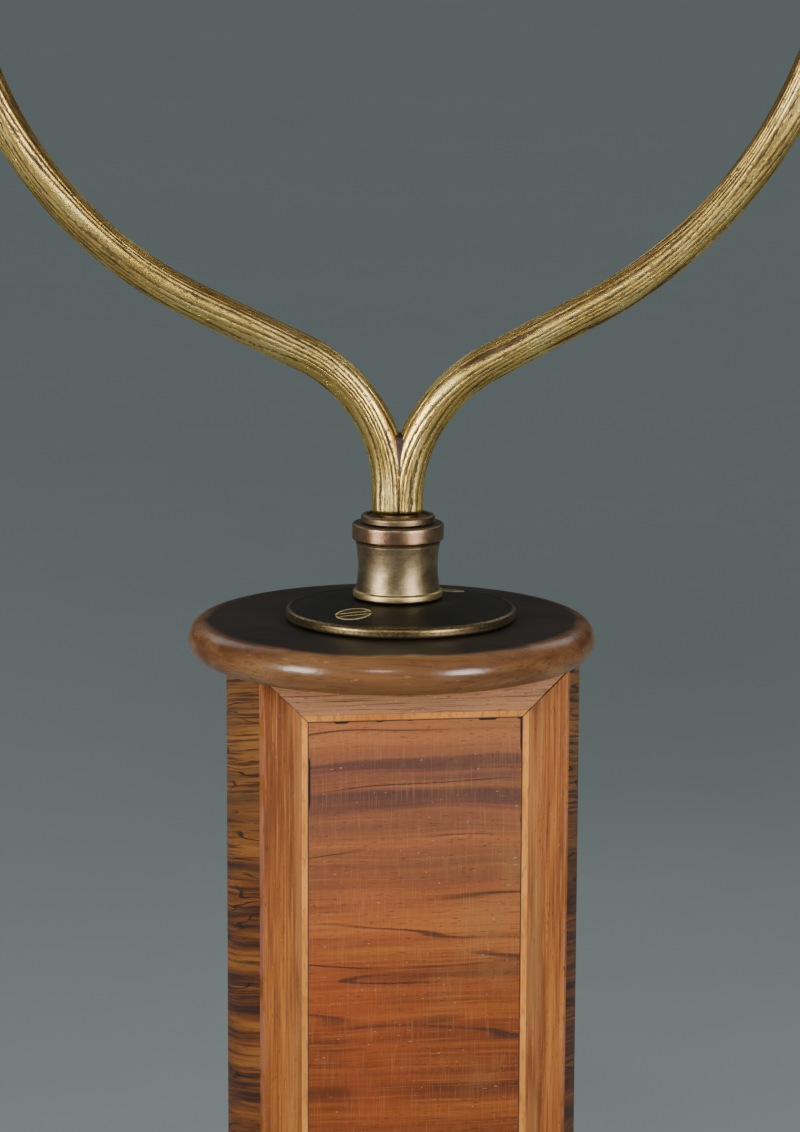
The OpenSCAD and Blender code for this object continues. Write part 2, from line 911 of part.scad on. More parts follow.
module pinion_plan() {
  difference() {
    polygon([for (k = [0 : pinion_teeth - 1]) let (c = 90 + k * 360 / pinion_teeth) each concat(
      [polar(root_r, c - tooth_angle(base_r) - 2)],
      [for (i = [0 : flank_steps]) polar(flank_r(i), c - tooth_angle(flank_r(i)))],
      [for (i = [flank_steps : -1 : 0]) polar(flank_r(i), c + tooth_angle(flank_r(i)))],
      [polar(root_r, c + tooth_angle(base_r) + 2)]
    )]);
    circle(shaft_r);
  }
}

// straight-sided rack teeth hanging from a strip, one gap centred on the shaft
module rack_plan() {
  teeth = floor((carriage_l - 2) / tooth_pitch);
  front = -head_front - gap + 1;
  top_half = tooth_half + dedendum * tan(pressure);
  tip_half = tooth_half - addendum * tan(pressure);
  first = ceil((front + 2 - shaft_y) / tooth_pitch - 0.5);
  translate([front, pitch_z + dedendum - eps]) square([carriage_l - 2, rack_back + eps]);
  for (k = [0 : teeth - 2]) translate([shaft_y + (first + k + 0.5) * tooth_pitch, pitch_z])
    polygon([[-top_half, dedendum], [-tip_half, -addendum], [tip_half, -addendum],
      [top_half, dedendum]]);
}

module focus_racks() {
  color(brass) at_pivot() for (x = [-rack_x, rack_x]) translate([x, 0, 0])
    across(rack_w) rack_plan();
}

module focus_pinions() {
  color(brass) at_pivot() for (x = [-rack_x, rack_x]) translate([x, shaft_y, shaft_z])
    across(rack_w + 1) pinion_plan();
}

module focus_shaft() {
  l = head_x + 0.8 + gap + knob_w - 1;
  color(steel) at_pivot() translate([-l, shaft_y, shaft_z]) rod_x(shaft_r, 2 * l);
}

module focus_knobs() {
  color(brass) at_pivot() both_sides()
    translate([head_x + 0.8 + gap, shaft_y, shaft_z]) difference() {
      union() {
        rod_x(5, 1.5);
        translate([1.4, 0, 0]) rod_x(knob_r, knob_w - 1.4);
      }
      translate([-1, 0, 0]) rod_x(shaft_r, knob_w);
    }
}

// ---- light flap ----

module light_flap() {
  color(kingwood) on_top() translate([-inner_x + gap, flap_y0 + gap, -board_t])
    cube([2 * (inner_x - gap), flap_l - 2 * gap, board_t]);
}

module flap_mirror() {
  color([0.75, 0.78, 0.8]) on_top() translate([-76, flap_y0 + 8, -board_t - mirror_t])
    cube([152, flap_l - 24, mirror_t]);
}

module flap_leaves() {
  color(brass) at_flap_hinges() hinge_moving();
}

// small turned pull
module pull() {
  cylinder(r = 3.2, h = 1);
  cylinder(r = 1.6, h = 5);
  translate([0, 0, 6.5]) sphere(3, $fn = 48);
}

module flap_knob() {
  color(brass) on_top() translate([0, flap_y1 - 7, 0]) pull();
}

// ---- rear door ----

module door_frame() {
  color(walnut) at_pivot() translate([0, door_y, 0]) difference() {
    translate([-head_x, 0, -back_h / 2]) cube([head_w, door_t, back_h]);
    translate([-window_x, -1, -window_z]) cube([2 * window_x, door_t + 2, 2 * window_z]);
    translate([-window_x - rebate, -1, -window_z - rebate])
      cube([2 * (window_x + rebate), 1 + pane_t + 1.5, 2 * (window_z + rebate)]);
  }
  // pull on the top rail, part of the frame's hardware
  color(brass) at_pivot() translate([0, door_y + door_t, (window_z + back_h / 2) / 2])
    rotate([-90, 0, 0]) pull();
}

module ground_glass() {
  color([0.85, 0.88, 0.88, 0.6]) at_pivot()
    translate([-window_x - rebate, door_y + 1.5, -window_z - rebate])
      cube([2 * (window_x + rebate), pane_t, 2 * (window_z + rebate)]);
}

module door_beads() {
  color(walnut) at_pivot() translate([0, door_y, 0]) difference() {
    translate([-window_x - rebate, 0, -window_z - rebate])
      cube([2 * (window_x + rebate), 1.5, 2 * (window_z + rebate)]);
    translate([-window_x + 1, -1, -window_z + 1])
      cube([2 * (window_x - 1), 4, 2 * (window_z - 1)]);
  }
}

module door_leaves() {
  color(brass) at_door_hinges() hinge_moving();
}

felt_pad();
base_weight();
base_screws();
base_plinth();
base_step();
column_bolt();
column_core();
side_veneers();
column_panels();
stringing();
crossbanding();
column_cap();
flange_plate();
flange_screws();
collar();
top_ring();
fork_stem();
stem_washer();
stem_nut();
left_arm();
right_arm();
crotch_web();
friction_washers();
left_thumbscrew();
right_thumbscrew();
left_side();
right_side();
bottom_board();
top_front();
top_rear();
front_frame();
septum();
card_rails();
pivot_plates();
plate_screws();
shaft_bushes();
flap_hinges();
door_hinges();
lens_board();
carriage_sleeve();
carriage_septum();
left_tube();
right_tube();
left_lens();
right_lens();
lens_rings();
left_eyecup();
right_eyecup();
focus_racks();
focus_shaft();
focus_pinions();
focus_knobs();
light_flap();
flap_mirror();
flap_leaves();
flap_knob();
door_frame();
ground_glass();
door_beads();
door_leaves();
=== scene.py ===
"""Looks of a pedestal stereo viewer: veneered column, brass fork of reeded rods and tilting head.

The CAD frame gives every place. Lengths here are metres; MM turns a workshop size into metres.
"""
import json
import math

import bmesh
import bpy
import numpy as np
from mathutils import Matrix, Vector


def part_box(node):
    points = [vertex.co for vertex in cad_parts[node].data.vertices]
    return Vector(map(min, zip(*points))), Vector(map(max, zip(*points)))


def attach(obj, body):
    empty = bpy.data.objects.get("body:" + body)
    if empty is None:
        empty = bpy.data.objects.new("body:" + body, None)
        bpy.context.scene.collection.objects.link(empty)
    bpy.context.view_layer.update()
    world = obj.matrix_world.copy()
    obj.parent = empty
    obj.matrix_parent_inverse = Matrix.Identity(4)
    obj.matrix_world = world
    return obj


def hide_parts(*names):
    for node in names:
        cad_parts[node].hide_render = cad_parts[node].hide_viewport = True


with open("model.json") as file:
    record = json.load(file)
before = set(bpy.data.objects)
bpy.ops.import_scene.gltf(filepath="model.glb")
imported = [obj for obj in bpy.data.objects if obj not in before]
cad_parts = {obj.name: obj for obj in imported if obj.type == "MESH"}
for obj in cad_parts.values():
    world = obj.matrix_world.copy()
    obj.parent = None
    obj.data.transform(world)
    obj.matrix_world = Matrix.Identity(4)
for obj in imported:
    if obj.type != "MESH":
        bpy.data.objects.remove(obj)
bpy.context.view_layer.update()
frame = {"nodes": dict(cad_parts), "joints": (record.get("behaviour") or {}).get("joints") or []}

nodes = frame["nodes"]
joints = {joint["name"]: joint for joint in frame["joints"]}
MM = 0.001
TAU = 2 * math.pi


def corners(node):
    """Lowest and highest corner of a CAD node as arrays."""
    low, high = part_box(node)
    return np.array(low), np.array(high)


# ---- sizes taken from the frame ----

pivot_z = joints["head_tilt"]["pos_m"][2]
ring_low, ring_high = corners("top_ring")
fork_z = ring_high[2]
collar_low, collar_high = corners("collar")
flange_low, flange_high = corners("flange_plate")
cap_low, cap_high = corners("column_cap")
core_low, core_high = corners("column_core")
_, front_high = corners("front_frame")
side_low, side_high = corners("right_side")

# ---- sizes of the maker's own, as in the frame's design ----

rod_r = 4.0 * MM
eye_r = 7.0 * MM
eye_t = 8.4 * MM
arm_x = corners("right_arm")[1][0] - eye_t / 2
seam_x = 0.4 * MM
rod_bends = {
    "left": dict(root_x=1.8, root_h=5.4, bend_r=33.0, lean=64.7, slant=25.2),
    "right": dict(root_x=1.4, root_h=2.4, bend_r=35.0, lean=61.6, slant=25.2),
}
stem_r = 4.5 * MM
stud_r = 2.5 * MM
column_yaw = math.radians(8)
column_x = 1.2 * MM
column_r = 38.8 * MM
flat_y = 20.2 * MM
flat_x = math.sqrt(column_r**2 - flat_y**2)
band_w = 8.3 * MM
string_w = 1.5 * MM
eye_gap = 64 * MM
tube_r = 19 * MM
lens_r = 17 * MM
knob_r = 9 * MM
thumb_r = 10 * MM


# ---- camera, light and floor ----

lens_mm = 122.25
camera_place = (0.4675 * MM, -0.8273, fork_z + 0.141)
camera_pitch = math.radians(10.46)
camera_roll = 0.0041
lamp_cone = math.radians(46)
lamp_aim = Vector((0, 0, fork_z + 0.15))
floor_reach = 30.0


def make_camera():
    """A long lens a little above the collar, looking slightly down on the column's head."""
    camera = bpy.data.objects.new("camera", bpy.data.cameras.new("camera"))
    camera.data.lens = lens_mm
    camera.data.clip_start = 0.05
    camera.location = camera_place
    camera.rotation_mode = "XYZ"
    turned_down = Matrix.Rotation(math.pi / 2 - camera_pitch, 3, "X")
    camera.rotation_euler = (turned_down @ Matrix.Rotation(camera_roll, 3, "Z")).to_euler()
    bpy.context.scene.collection.objects.link(camera)
    bpy.context.scene.camera = camera


def softbox(name, azimuth, elevation, distance, size, watts, colour=(1, 1, 1)):
    """Gridded softbox placed about the collar and aimed above it.

    Azimuth runs from the camera's side, right positive: away = (sin a cos e, -cos a cos e, sin e).
    """
    light = bpy.data.lights.new(name, "AREA")
    light.shape = "RECTANGLE"
    light.size, light.size_y = size
    light.energy = watts
    light.color = colour
    light.spread = lamp_cone
    lamp = bpy.data.objects.new(name, light)
    across, up = math.radians(azimuth), math.radians(elevation)
    level = math.cos(up)
    away = Vector((math.sin(across) * level, -math.cos(across) * level, math.sin(up)))
    lamp.location = Vector((0, 0, fork_z)) + away * distance
    lamp.rotation_euler = (lamp.location - lamp_aim).to_track_quat("Z", "Y").to_euler()
    lamp.visible_camera = False
    bpy.context.scene.collection.objects.link(lamp)


def make_studio():
    """Two upright softboxes beside the camera, faint lights behind, and a room bright above."""
    softbox("left_softbox", -52, 14, 1.25, (0.4, 0.72), 1.7, (1.0, 0.97, 0.92))
    softbox("right_softbox", 41, 14, 1.25, (0.4, 0.68), 1.55, (1.0, 0.97, 0.93))
    softbox("front_softbox", -7, 30, 1.6, (0.34, 0.12), 0.25)
    softbox("back_left_softbox", -145, 34, 1.9, (0.9, 0.7), 0.15)
    softbox("back_right_softbox", 145, 34, 1.9, (0.9, 0.7), 0.15)
    world = bpy.data.worlds.new("room")
    world.use_nodes = True
    tree = world.node_tree
    direction = Shade(tree).add("ShaderNodeTexCoord", {}, "Generated")
    height = direction.part("Z").most(0.0)
    light = (height * height).mix((0.032, 0.036, 0.037), (0.47, 0.5, 0.5))
    tree.links.new(light.socket, tree.nodes["Background"].inputs["Color"])
    bpy.context.scene.world = world


# ---- shader maths ----


class Shade:
    """A socket in a node tree. Arithmetic on it adds Math nodes, and add() makes any other node."""

    def __init__(self, tree, socket=None):
        self.tree, self.socket = tree, socket

    def add(self, kind, inputs, output=0, stops=(), **settings):
        """A node of this kind with its settings, colour stops, and values or links of its inputs."""
        node = self.tree.nodes.new(kind)
        for key, value in settings.items():
            setattr(node, key, value)
        if stops:
            ramp = node.color_ramp
            ramp.elements[0].position, ramp.elements[-1].position = stops[0][0], stops[-1][0]
            for place, _ in stops[1:-1]:
                ramp.elements.new(place)
            for element, (_, colour) in zip(ramp.elements, stops):
                element.color = (*colour, 1)
        for key, value in inputs.items():
            if isinstance(value, Shade):
                self.tree.links.new(value.socket, node.inputs[key])
            else:
                node.inputs[key].default_value = value
        return Shade(self.tree, node.outputs[output] if node.outputs else None)

    def math(self, operation, *values):
        return self.add("ShaderNodeMath", dict(enumerate(values)), operation=operation)

    def __add__(self, other):
        return self.math("ADD", self, other)

    def __sub__(self, other):
        return self.math("SUBTRACT", self, other)

    def __rsub__(self, other):
        return self.math("SUBTRACT", other, self)

    def __mul__(self, other):
        return self.math("MULTIPLY", self, other)

    def __abs__(self):
        return self.math("ABSOLUTE", self)

    __radd__, __rmul__ = __add__, __mul__

    def length(self, other):
        """Length of the pair of components: the root of the sum of their squares."""
        return self.math("SQRT", self * self + other * other)

    def least(self, other):
        return self.math("MINIMUM", self, other)

    def most(self, other):
        return self.math("MAXIMUM", self, other)

    def step(self, low, high):
        """Smooth step from 0 at low to 1 at high; low may be the larger one."""
        inputs = {"Value": self, "From Min": low, "From Max": high}
        return self.add("ShaderNodeMapRange", inputs, interpolation_type="SMOOTHSTEP")

    def line(self, half_width):
        """1 where this value is zero, falling to 0 at the half width."""
        return abs(self).step(half_width, half_width * 0.3)

    def mix(self, colour_0, colour_1):
        """The first colour where this mask is 0 and the second where it is 1."""
        inputs = {0: self, 6: rgba(colour_0), 7: rgba(colour_1)}
        return self.add("ShaderNodeMix", inputs, 2, data_type="RGBA")

    def ramp(self, *stops):
        return self.add("ShaderNodeValToRGB", {"Fac": self}, stops=stops)

    def frame(self, centre=(0, 0, 0), turn=(0, 0, 0), cell=(1, 1, 1)):
        """This vector measured from a centre, turned back by angles and counted in cells."""
        inputs = {"Vector": self, "Location": centre, "Rotation": turn, "Scale": cell}
        return self.add("ShaderNodeMapping", inputs, vector_type="TEXTURE")

    def noise(self, cell, detail=3.0, rough=0.5, warp=0.0):
        """Cloudy noise from 0 to 1 whose lumps have that size along X, Y and Z."""
        inputs = {"Vector": self.frame(cell=cell), "Scale": 1.0, "Detail": detail}
        inputs |= {"Roughness": rough, "Distortion": warp}
        return self.add("ShaderNodeTexNoise", inputs)

    def part(self, axis):
        """One component of this vector."""
        return self.add("ShaderNodeSeparateXYZ", {0: self}, "XYZ".index(axis))

    def parts(self):
        return self.part("X"), self.part("Y"), self.part("Z")

    def vector(self, x, y, z):
        return self.add("ShaderNodeCombineXYZ", {0: x, 1: y, 2: z})


def rgba(colour):
    return colour if isinstance(colour, Shade) else (*colour, 1)


def spots(vector, cell, share):
    """Irregular flecks that cover about that share of the surface."""
    threshold = 0.5 + (0.5 - share) * 0.42
    return vector.noise(cell, 2.0).step(threshold, threshold + 0.04)


def wood(colour, rough, gloss, height, depth):
    """Shader inputs of a polished wood with its bump height and depth."""
    surface = {"Base Color": colour, "Roughness": rough, "Specular IOR Level": gloss}
    return {**surface, "bump": (height, depth)}


def metal(colour, metallic, rough, height, depth):
    """Shader inputs of a metal, or of a plain stuff, with its bump height and depth."""
    surface = {"Base Color": colour, "Metallic": metallic, "Roughness": rough}
    return {**surface, "bump": (height, depth)}


def material(name, paint):
    """New material. paint(place) takes object coordinates and returns shader inputs and bump."""
    made = bpy.data.materials.new(name)
    made.use_nodes = True
    tree = made.node_tree
    tree.nodes.clear()
    place = Shade(tree).add("ShaderNodeTexCoord", {}, "Object")
    surface = paint(place)
    bump = surface.pop("bump", None)
    if bump:
        height, distance = bump
        inputs = {"Height": height, "Distance": distance, "Strength": 1.0}
        surface["Normal"] = place.add("ShaderNodeBump", inputs, "Normal")
    for key, value in surface.items():
        if key in ("Base Color", "Sheen Tint", "Coat Tint"):
            surface[key] = rgba(value)
    shader = place.add("ShaderNodeBsdfPrincipled", surface)
    place.add("ShaderNodeOutputMaterial", {"Surface": shader})
    return made


# ---- woods ----


def grain(vector, fibre, vein, pore, figure=1.0):
    """Four masks of grain along X: broad streaks, fine streaks, dark veins and short pores."""
    broad = vector.noise((fibre * 1.6, 0.03, vein * 2.2), 2.5, 0.55, 0.35 * figure)
    fine = vector.noise((fibre * 0.5, 0.02, vein * 0.3), 4.0, 0.65, 0.1)
    veins = (vector.noise((fibre * 2.2, 0.03, vein * 3.2), 1.5, 0.5, 0.5 * figure) - 0.5).line(0.018)
    gate = vector.noise((fibre, 0.04, vein * 2.0), 2.0).step(0.45, 0.6)
    pores = spots(vector, (pore * 9, pore, pore), 0.12)
    return broad, fine, veins * gate, pores


def column_frame(place):
    """Coordinates of the column: X across its flat faces, Y out of them, Z up from its foot."""
    return place.frame((column_x, 0, core_low[2]), (0, 0, column_yaw))


column_h = core_high[2] - core_low[2]


def panel_veneer(place):
    """Striped rosewood laid with its grain across the column."""
    own = column_frame(place)
    x, y, z = own.parts()
    sway = own.noise((0.045, 0.05, 0.03), 1.0) - 0.5
    bowed = own.vector(x, y, z + x * x * 0.7 + sway * 0.005)
    bands = bowed.noise((0.26, 0.05, 0.012), 2.0, 0.55)
    streaks = bowed.noise((0.14, 0.03, 0.0026), 3.0, 0.6, 0.1)
    fine = bowed.noise((0.03, 0.02, 0.0006), 4.0, 0.7)
    colour = (bands * 0.55 + streaks * 0.45).ramp(
        (0.32, (0.06, 0.014, 0.004)),
        (0.42, (0.15, 0.032, 0.006)),
        (0.5, (0.24, 0.053, 0.008)),
        (0.58, (0.31, 0.076, 0.01)),
        (0.68, (0.39, 0.12, 0.018)),
    )
    colour = (fine.step(0.5, 0.34) * 0.6).mix(colour, (0.105, 0.026, 0.007))
    colour = (fine.step(0.52, 0.68) * 0.45).mix(colour, (0.46, 0.155, 0.028))
    red = own.noise((0.02, 0.03, 0.022), 2.0).step(0.5, 0.66) * x.step(0.01, -0.012)
    colour = (red * 0.45).mix(colour, (0.34, 0.066, 0.012))
    # Painted sheen: the panel's top is lightened towards a pale pink-brown, a painted reflection of the
    # softbox light that fades downwards.
    high = z.step(column_h - 0.075, column_h - 0.02)
    # Painted reflection: a dull purple-brown band near the panel's top stands in for the grey sheen of
    # the room on the polish.
    sheen_band_centre = bowed.noise((0.12, 0.05, 0.004), 2.0) * 0.012 + column_h - 0.03
    sheen_band = abs(z - sheen_band_centre).step(0.0125, 0.002) * (streaks.step(0.66, 0.42) * 0.6 + 0.4)
    colour = (high * 0.45).mix(colour, (0.33, 0.14, 0.066))
    # Painted shade: the panel is darkened lower down, the dim end of the same painted sheen.
    low = z.step(column_h - 0.07, column_h - 0.125)
    colour = (low * 0.35).mix(colour, (0.14, 0.028, 0.004))
    colour = (sheen_band * 0.9).mix(colour, (0.075, 0.03, 0.024))
    olive = own.noise((0.016, 0.02, 0.026), 3.0).step(0.46, 0.66) * x.step(0.000, 0.018)
    colour = (olive * 0.5).mix(colour, (0.27, 0.125, 0.036))
    vein_gate = bowed.noise((0.04, 0.04, 0.006), 2.0).step(0.44, 0.58)
    veins = (bowed.noise((0.15, 0.03, 0.013), 2.0, 0.5) - 0.5).line(0.01) * vein_gate
    colour = (veins * 0.8).mix(colour, (0.035, 0.012, 0.007))
    pores = spots(own, (0.0018, 0.0003, 0.00024), 0.15)
    colour = (pores * 0.6).mix(colour, (0.07, 0.02, 0.008))
    scrape = own.noise((0.0003, 0.02, 0.009), 3.0, 0.6)
    colour = (scrape.step(0.5, 0.7) * 0.16).mix(colour, (0.58, 0.26, 0.11))
    # Painted highlight: a few pale specks, glints of light on the polish.
    painted_glint = spots(own, (0.0012, 0.001, 0.0005), 0.003)
    colour = (painted_glint * 0.4).mix(colour, (0.7, 0.5, 0.38))
    edge = (flat_x - band_w - string_w - abs(x)).least(column_h - band_w - string_w - z)
    opened = own.noise((0.006, 0.01, 0.01), 1.0).step(0.5, 0.6)
    opened = opened * z.step(column_h - 0.045, column_h - 0.03)
    joint = (edge - 0.00008 - opened * 0.00038).step(0.00012, 0.0)
    colour = joint.mix(colour, (0.01, 0.007, 0.005))
    height = fine * 0.35 + scrape * 0.35 - pores * 0.5 - veins * 0.5 - joint * 1.5 + painted_glint
    return wood(colour, 0.36 + fine * 0.14 + scrape * 0.1, 0.36, height, 0.00005)


def banding_veneer(place):
    """Straight-grained banding along each side, mitred at the corners."""
    own = column_frame(place)
    x, y, z = own.parts()
    from_end = z.least(column_h - z)
    from_side = flat_x - abs(x)
    mitre = from_end - from_side
    upright = mitre.step(-0.00001, 0.00001)
    along = upright * z + (1 - upright) * (x + 0.3)
    across = upright * x + (1 - upright) * z
    strip = own.vector(along, y, across)
    broad, fine, _, pores = grain(strip, 0.045, 0.0014, 0.00023, 0.5)
    body = broad.ramp(
        (0.32, (0.16, 0.042, 0.008)),
        (0.48, (0.3, 0.09, 0.014)),
        (0.64, (0.42, 0.15, 0.026)),
    )
    # Painted light: the cross bands at the ends are lightened, lifting the top band out of the shade
    # that the cap casts on it.
    body = ((1 - upright) * 0.7).mix(body, (0.46, 0.235, 0.125))
    colour = (fine.step(0.5, 0.7) * 0.6).mix(body, (0.54, 0.215, 0.046))
    colour = (fine.step(0.5, 0.36) * 0.8).mix(colour, (0.13, 0.04, 0.012))
    colour = (pores * 0.85).mix(colour, (0.06, 0.022, 0.01))
    tan = from_side.step(0.0045, 0.0062) * strip.noise((0.03, 0.01, 0.002), 2.0).step(0.35, 0.6)
    colour = (tan * 0.4 * upright).mix(colour, (0.42, 0.19, 0.058))
    # Painted highlight: pale specks, glints of light on the polish, most of them on the cross bands.
    painted_glint = spots(strip, (0.0007, 0.001, 0.0004), 0.035) * (1 - upright * 0.8)
    colour = (painted_glint * 0.8).mix(colour, (0.75, 0.55, 0.42))
    arris = from_side.step(0.00045, 0.0001) * place.noise((0.002, 0.002, 0.005), 2.0).step(0.42, 0.56)
    colour = (arris * 0.6).mix(colour, (0.34, 0.13, 0.085))
    line_gate = place.noise((0.004, 0.004, 0.004), 1.0).step(0.4, 0.52) * 0.55
    line_gate = line_gate + x.step(-0.002, 0.002) * 0.45
    cut = mitre.line(0.0003) * line_gate
    colour = (cut * 0.9).mix(colour, (0.022, 0.012, 0.008))
    height = fine * 0.6 - pores * 0.7 - cut * 1.5 + painted_glint * 0.6
    return wood(colour, 0.38 + fine * 0.2 - painted_glint * 0.1, 0.38, height, 0.00007)


def string_wood(place):
    """Pale close-grained stringing, with a thin dark glue line along both edges."""
    own = column_frame(place)
    x, z = own.part("X"), own.part("Z")
    fine = own.noise((0.0008, 0.01, 0.0035), 3.0, 0.6)
    broad = own.noise((0.02, 0.02, 0.016), 2.0)
    colour = broad.ramp((0.35, (0.54, 0.185, 0.028)), (0.65, (0.74, 0.295, 0.052)))
    colour = (fine.step(0.52, 0.36) * 0.5).mix(colour, (0.28, 0.095, 0.024))
    from_side = flat_x - abs(x)
    from_end = z.least(column_h - z)
    inner = from_side.least(from_end) - band_w
    glue = inner.line(0.00016).most((inner - string_w).line(0.00022))
    colour = (glue * 0.7).mix(colour, (0.09, 0.035, 0.016))
    cut = (from_end - from_side).line(0.00025)
    colour = (cut * 0.8).mix(colour, (0.03, 0.015, 0.01))
    return wood(colour, 0.4 + fine * 0.15, 0.42, fine * 0.5 - cut, 0.00005)


def side_veneer(place):
    """Dark-streaked veneer round the curved sides, its grain running round them with a slight fall."""
    own = column_frame(place)
    x, y, z = own.parts()
    turn = own.math("ARCTAN2", y, abs(x)) * column_r
    sway = own.noise((0.02, 0.02, 0.012), 2.0) - 0.5
    wrapped = own.vector(turn, x * 0.1, z + turn * 0.22 + sway * 0.0014)
    broad = wrapped.noise((0.11, 0.03, 0.005), 3.0, 0.6)
    fine = wrapped.noise((0.045, 0.02, 0.00075), 4.0, 0.7)
    pores = spots(wrapped, (0.003, 0.0003, 0.00024), 0.15)
    body = broad.ramp(
        (0.34, (0.04, 0.011, 0.004)),
        (0.44, (0.095, 0.027, 0.006)),
        (0.54, (0.19, 0.056, 0.009)),
        (0.66, (0.3, 0.108, 0.016)),
    )
    # Painted shade: the curved side on the right is darkened, as the column's shaded side.
    body = (x.step(-0.01, 0.01) * 0.5).mix(body, (0.05, 0.02, 0.013))
    top = z.step(column_h - 0.055, column_h - 0.015)
    colour = (top * 0.45).mix(body, (0.27, 0.125, 0.03))
    colour = (fine.step(0.53, 0.38) * 0.85).mix(colour, (0.03, 0.011, 0.006))
    colour = (fine.step(0.56, 0.72) * 0.4).mix(colour, (0.36, 0.165, 0.044))
    line_gate = wrapped.noise((0.03, 0.03, 0.004), 2.0).step(0.46, 0.58)
    veins = (wrapped.noise((0.04, 0.03, 0.005), 2.0) - 0.5).line(0.016) * line_gate
    colour = (veins * 0.9).mix(colour, (0.014, 0.007, 0.005))
    colour = (pores * 0.5).mix(colour, (0.04, 0.018, 0.01))
    corner = (flat_y - abs(y)).step(0.001, 0.0004)
    corner = corner * wrapped.noise((0.002, 0.01, 0.004), 2.0).step(0.36, 0.52)
    colour = (corner * 0.7).mix(colour, (0.175, 0.05, 0.04))
    ragged = wrapped.noise((0.002, 0.01, 0.002), 1.0) * 0.0006
    joint = (column_h - z - 0.0003 - ragged).step(0.0002, 0.0)
    colour = joint.mix(colour, (0.01, 0.007, 0.005))
    height = fine * 0.8 - pores * 0.6 - veins - joint * 2.0
    return wood(colour, 0.42 + fine * 0.2, 0.42, height, 0.00008)


def turned_wood(centre, edge_r, top_z):
    """Dark polished turned wood: worn to red-brown round the edge, with a painted shade of near black on
    top.
    """

    def paint(place):
        own = place.frame((centre, 0, top_z))
        x, y, z = own.parts()
        radius = x.length(y)
        broad = own.noise((0.07, 0.012, 0.004), 2.0, 0.5, 0.2)
        fine = own.noise((0.012, 0.0012, 0.0005), 4.0, 0.65)
        rim = broad.ramp(
            (0.33, (0.105, 0.04, 0.013)),
            (0.5, (0.175, 0.078, 0.028)),
            (0.66, (0.235, 0.122, 0.048)),
        )
        rim = (fine.step(0.5, 0.34) * 0.45).mix(rim, (0.05, 0.02, 0.009))
        wear = own.noise((0.02, 0.02, 0.02), 3.0, 0.6)
        mixed = broad * 0.5 + fine * 0.5
        # Painted shade: the top is painted near black, standing in for the dark room that the glossy top
        # reflects; its ragged border follows the wear noise.
        dark = mixed.ramp((0.36, (0.006, 0.005, 0.003)), (0.62, (0.03, 0.016, 0.008)))
        shaded_top = (radius + (wear - 0.5) * 0.006).step(edge_r - 0.0024, edge_r - 0.0052)
        shaded_top = shaded_top * z.step(-0.0016, -0.0004)
        colour = shaded_top.mix(rim, dark)
        nicks = spots(own, (0.003, 0.003, 0.0008), 0.05)
        colour = (nicks * 0.4 * (1 - shaded_top)).mix(colour, (0.35, 0.19, 0.1))
        height = fine * 0.4 + wear * 0.5 + own.noise((0.0014, 0.0014, 0.001), 2.0) * 0.5 - nicks * 0.4
        return {
            "Base Color": colour,
            "Roughness": 0.2 + wear * 0.12 + shaded_top * 0.26,
            "Specular IOR Level": 0.34,
            "Coat Weight": 0.3 - shaded_top * 0.3,
            "Coat Roughness": 0.13,
            "bump": (height, 0.00007),
        }

    return paint


def plain_wood(main, dark, cell=(0.05, 0.0016, 0.0016)):
    """Boards: streaks and pores in cells of that size, the long one along the grain."""

    def paint(place):
        broad = place.noise(tuple(5 * size for size in cell), 3.0, 0.6, 0.3)
        fine = place.noise(cell, 4.0, 0.65)
        pores = spots(place, (0.0016, 0.00018, 0.00018), 0.12)
        pale = tuple(min(1.0, 1.45 * part) for part in main)
        colour = broad.ramp((0.32, dark), (0.5, main), (0.68, pale))
        colour = (fine.step(0.5, 0.34) * 0.6).mix(colour, dark)
        colour = (pores * 0.5).mix(colour, tuple(0.5 * part for part in dark))
        return wood(colour, 0.38 + fine * 0.15, 0.38, fine * 0.6 - pores * 0.6, 0.00006)

    return paint


def inlaid_board(turn, edges):
    """Rosewood board with a mitred banding and pale stringing round it.

    edges(x, y, z) gives the distances to the board's ends and to its long edges, from place coordinates.
    """

    def paint(place):
        x, y, z = place.parts()
        to_end, to_edge = edges(x, y, z)
        inset = to_end.least(to_edge)
        panel = place.frame(turn=turn)
        broad, fine, veins, pores = grain(panel, 0.06, 0.0042, 0.00018)
        body = broad.ramp(
            (0.3, (0.08, 0.022, 0.008)),
            (0.45, (0.2, 0.05, 0.011)),
            (0.66, (0.35, 0.1, 0.018)),
        )
        colour = (fine.step(0.45, 0.3) * 0.7).mix(body, (0.1, 0.034, 0.018))
        colour = (veins * 0.7).mix(colour, (0.06, 0.022, 0.014))
        colour = (pores * 0.5).mix(colour, (0.085, 0.03, 0.018))
        band_fine = place.noise((0.0012, 0.0012, 0.0012), 3.0, 0.6)
        band = band_fine.ramp((0.35, (0.21, 0.062, 0.012)), (0.65, (0.4, 0.145, 0.028)))
        colour = inset.step(band_w, band_w - 0.00004).mix(colour, band)
        pale = band_fine.ramp((0.35, (0.54, 0.19, 0.032)), (0.65, (0.72, 0.29, 0.055)))
        string = (inset - band_w - string_w / 2).line(string_w / 2 * 1.25)
        colour = string.mix(colour, pale)
        cut = (to_end - to_edge).line(0.0003) * inset.step(band_w + string_w, band_w)
        glue = (inset - band_w).line(0.0002).most((inset - band_w - string_w).line(0.0002))
        colour = (cut.most(glue) * 0.7).mix(colour, (0.04, 0.018, 0.01))
        return wood(colour, 0.36 + fine * 0.16, 0.38, fine * 0.5 - pores * 0.6 - cut, 0.00006)

    return paint


# ---- metals, glass and the rest ----


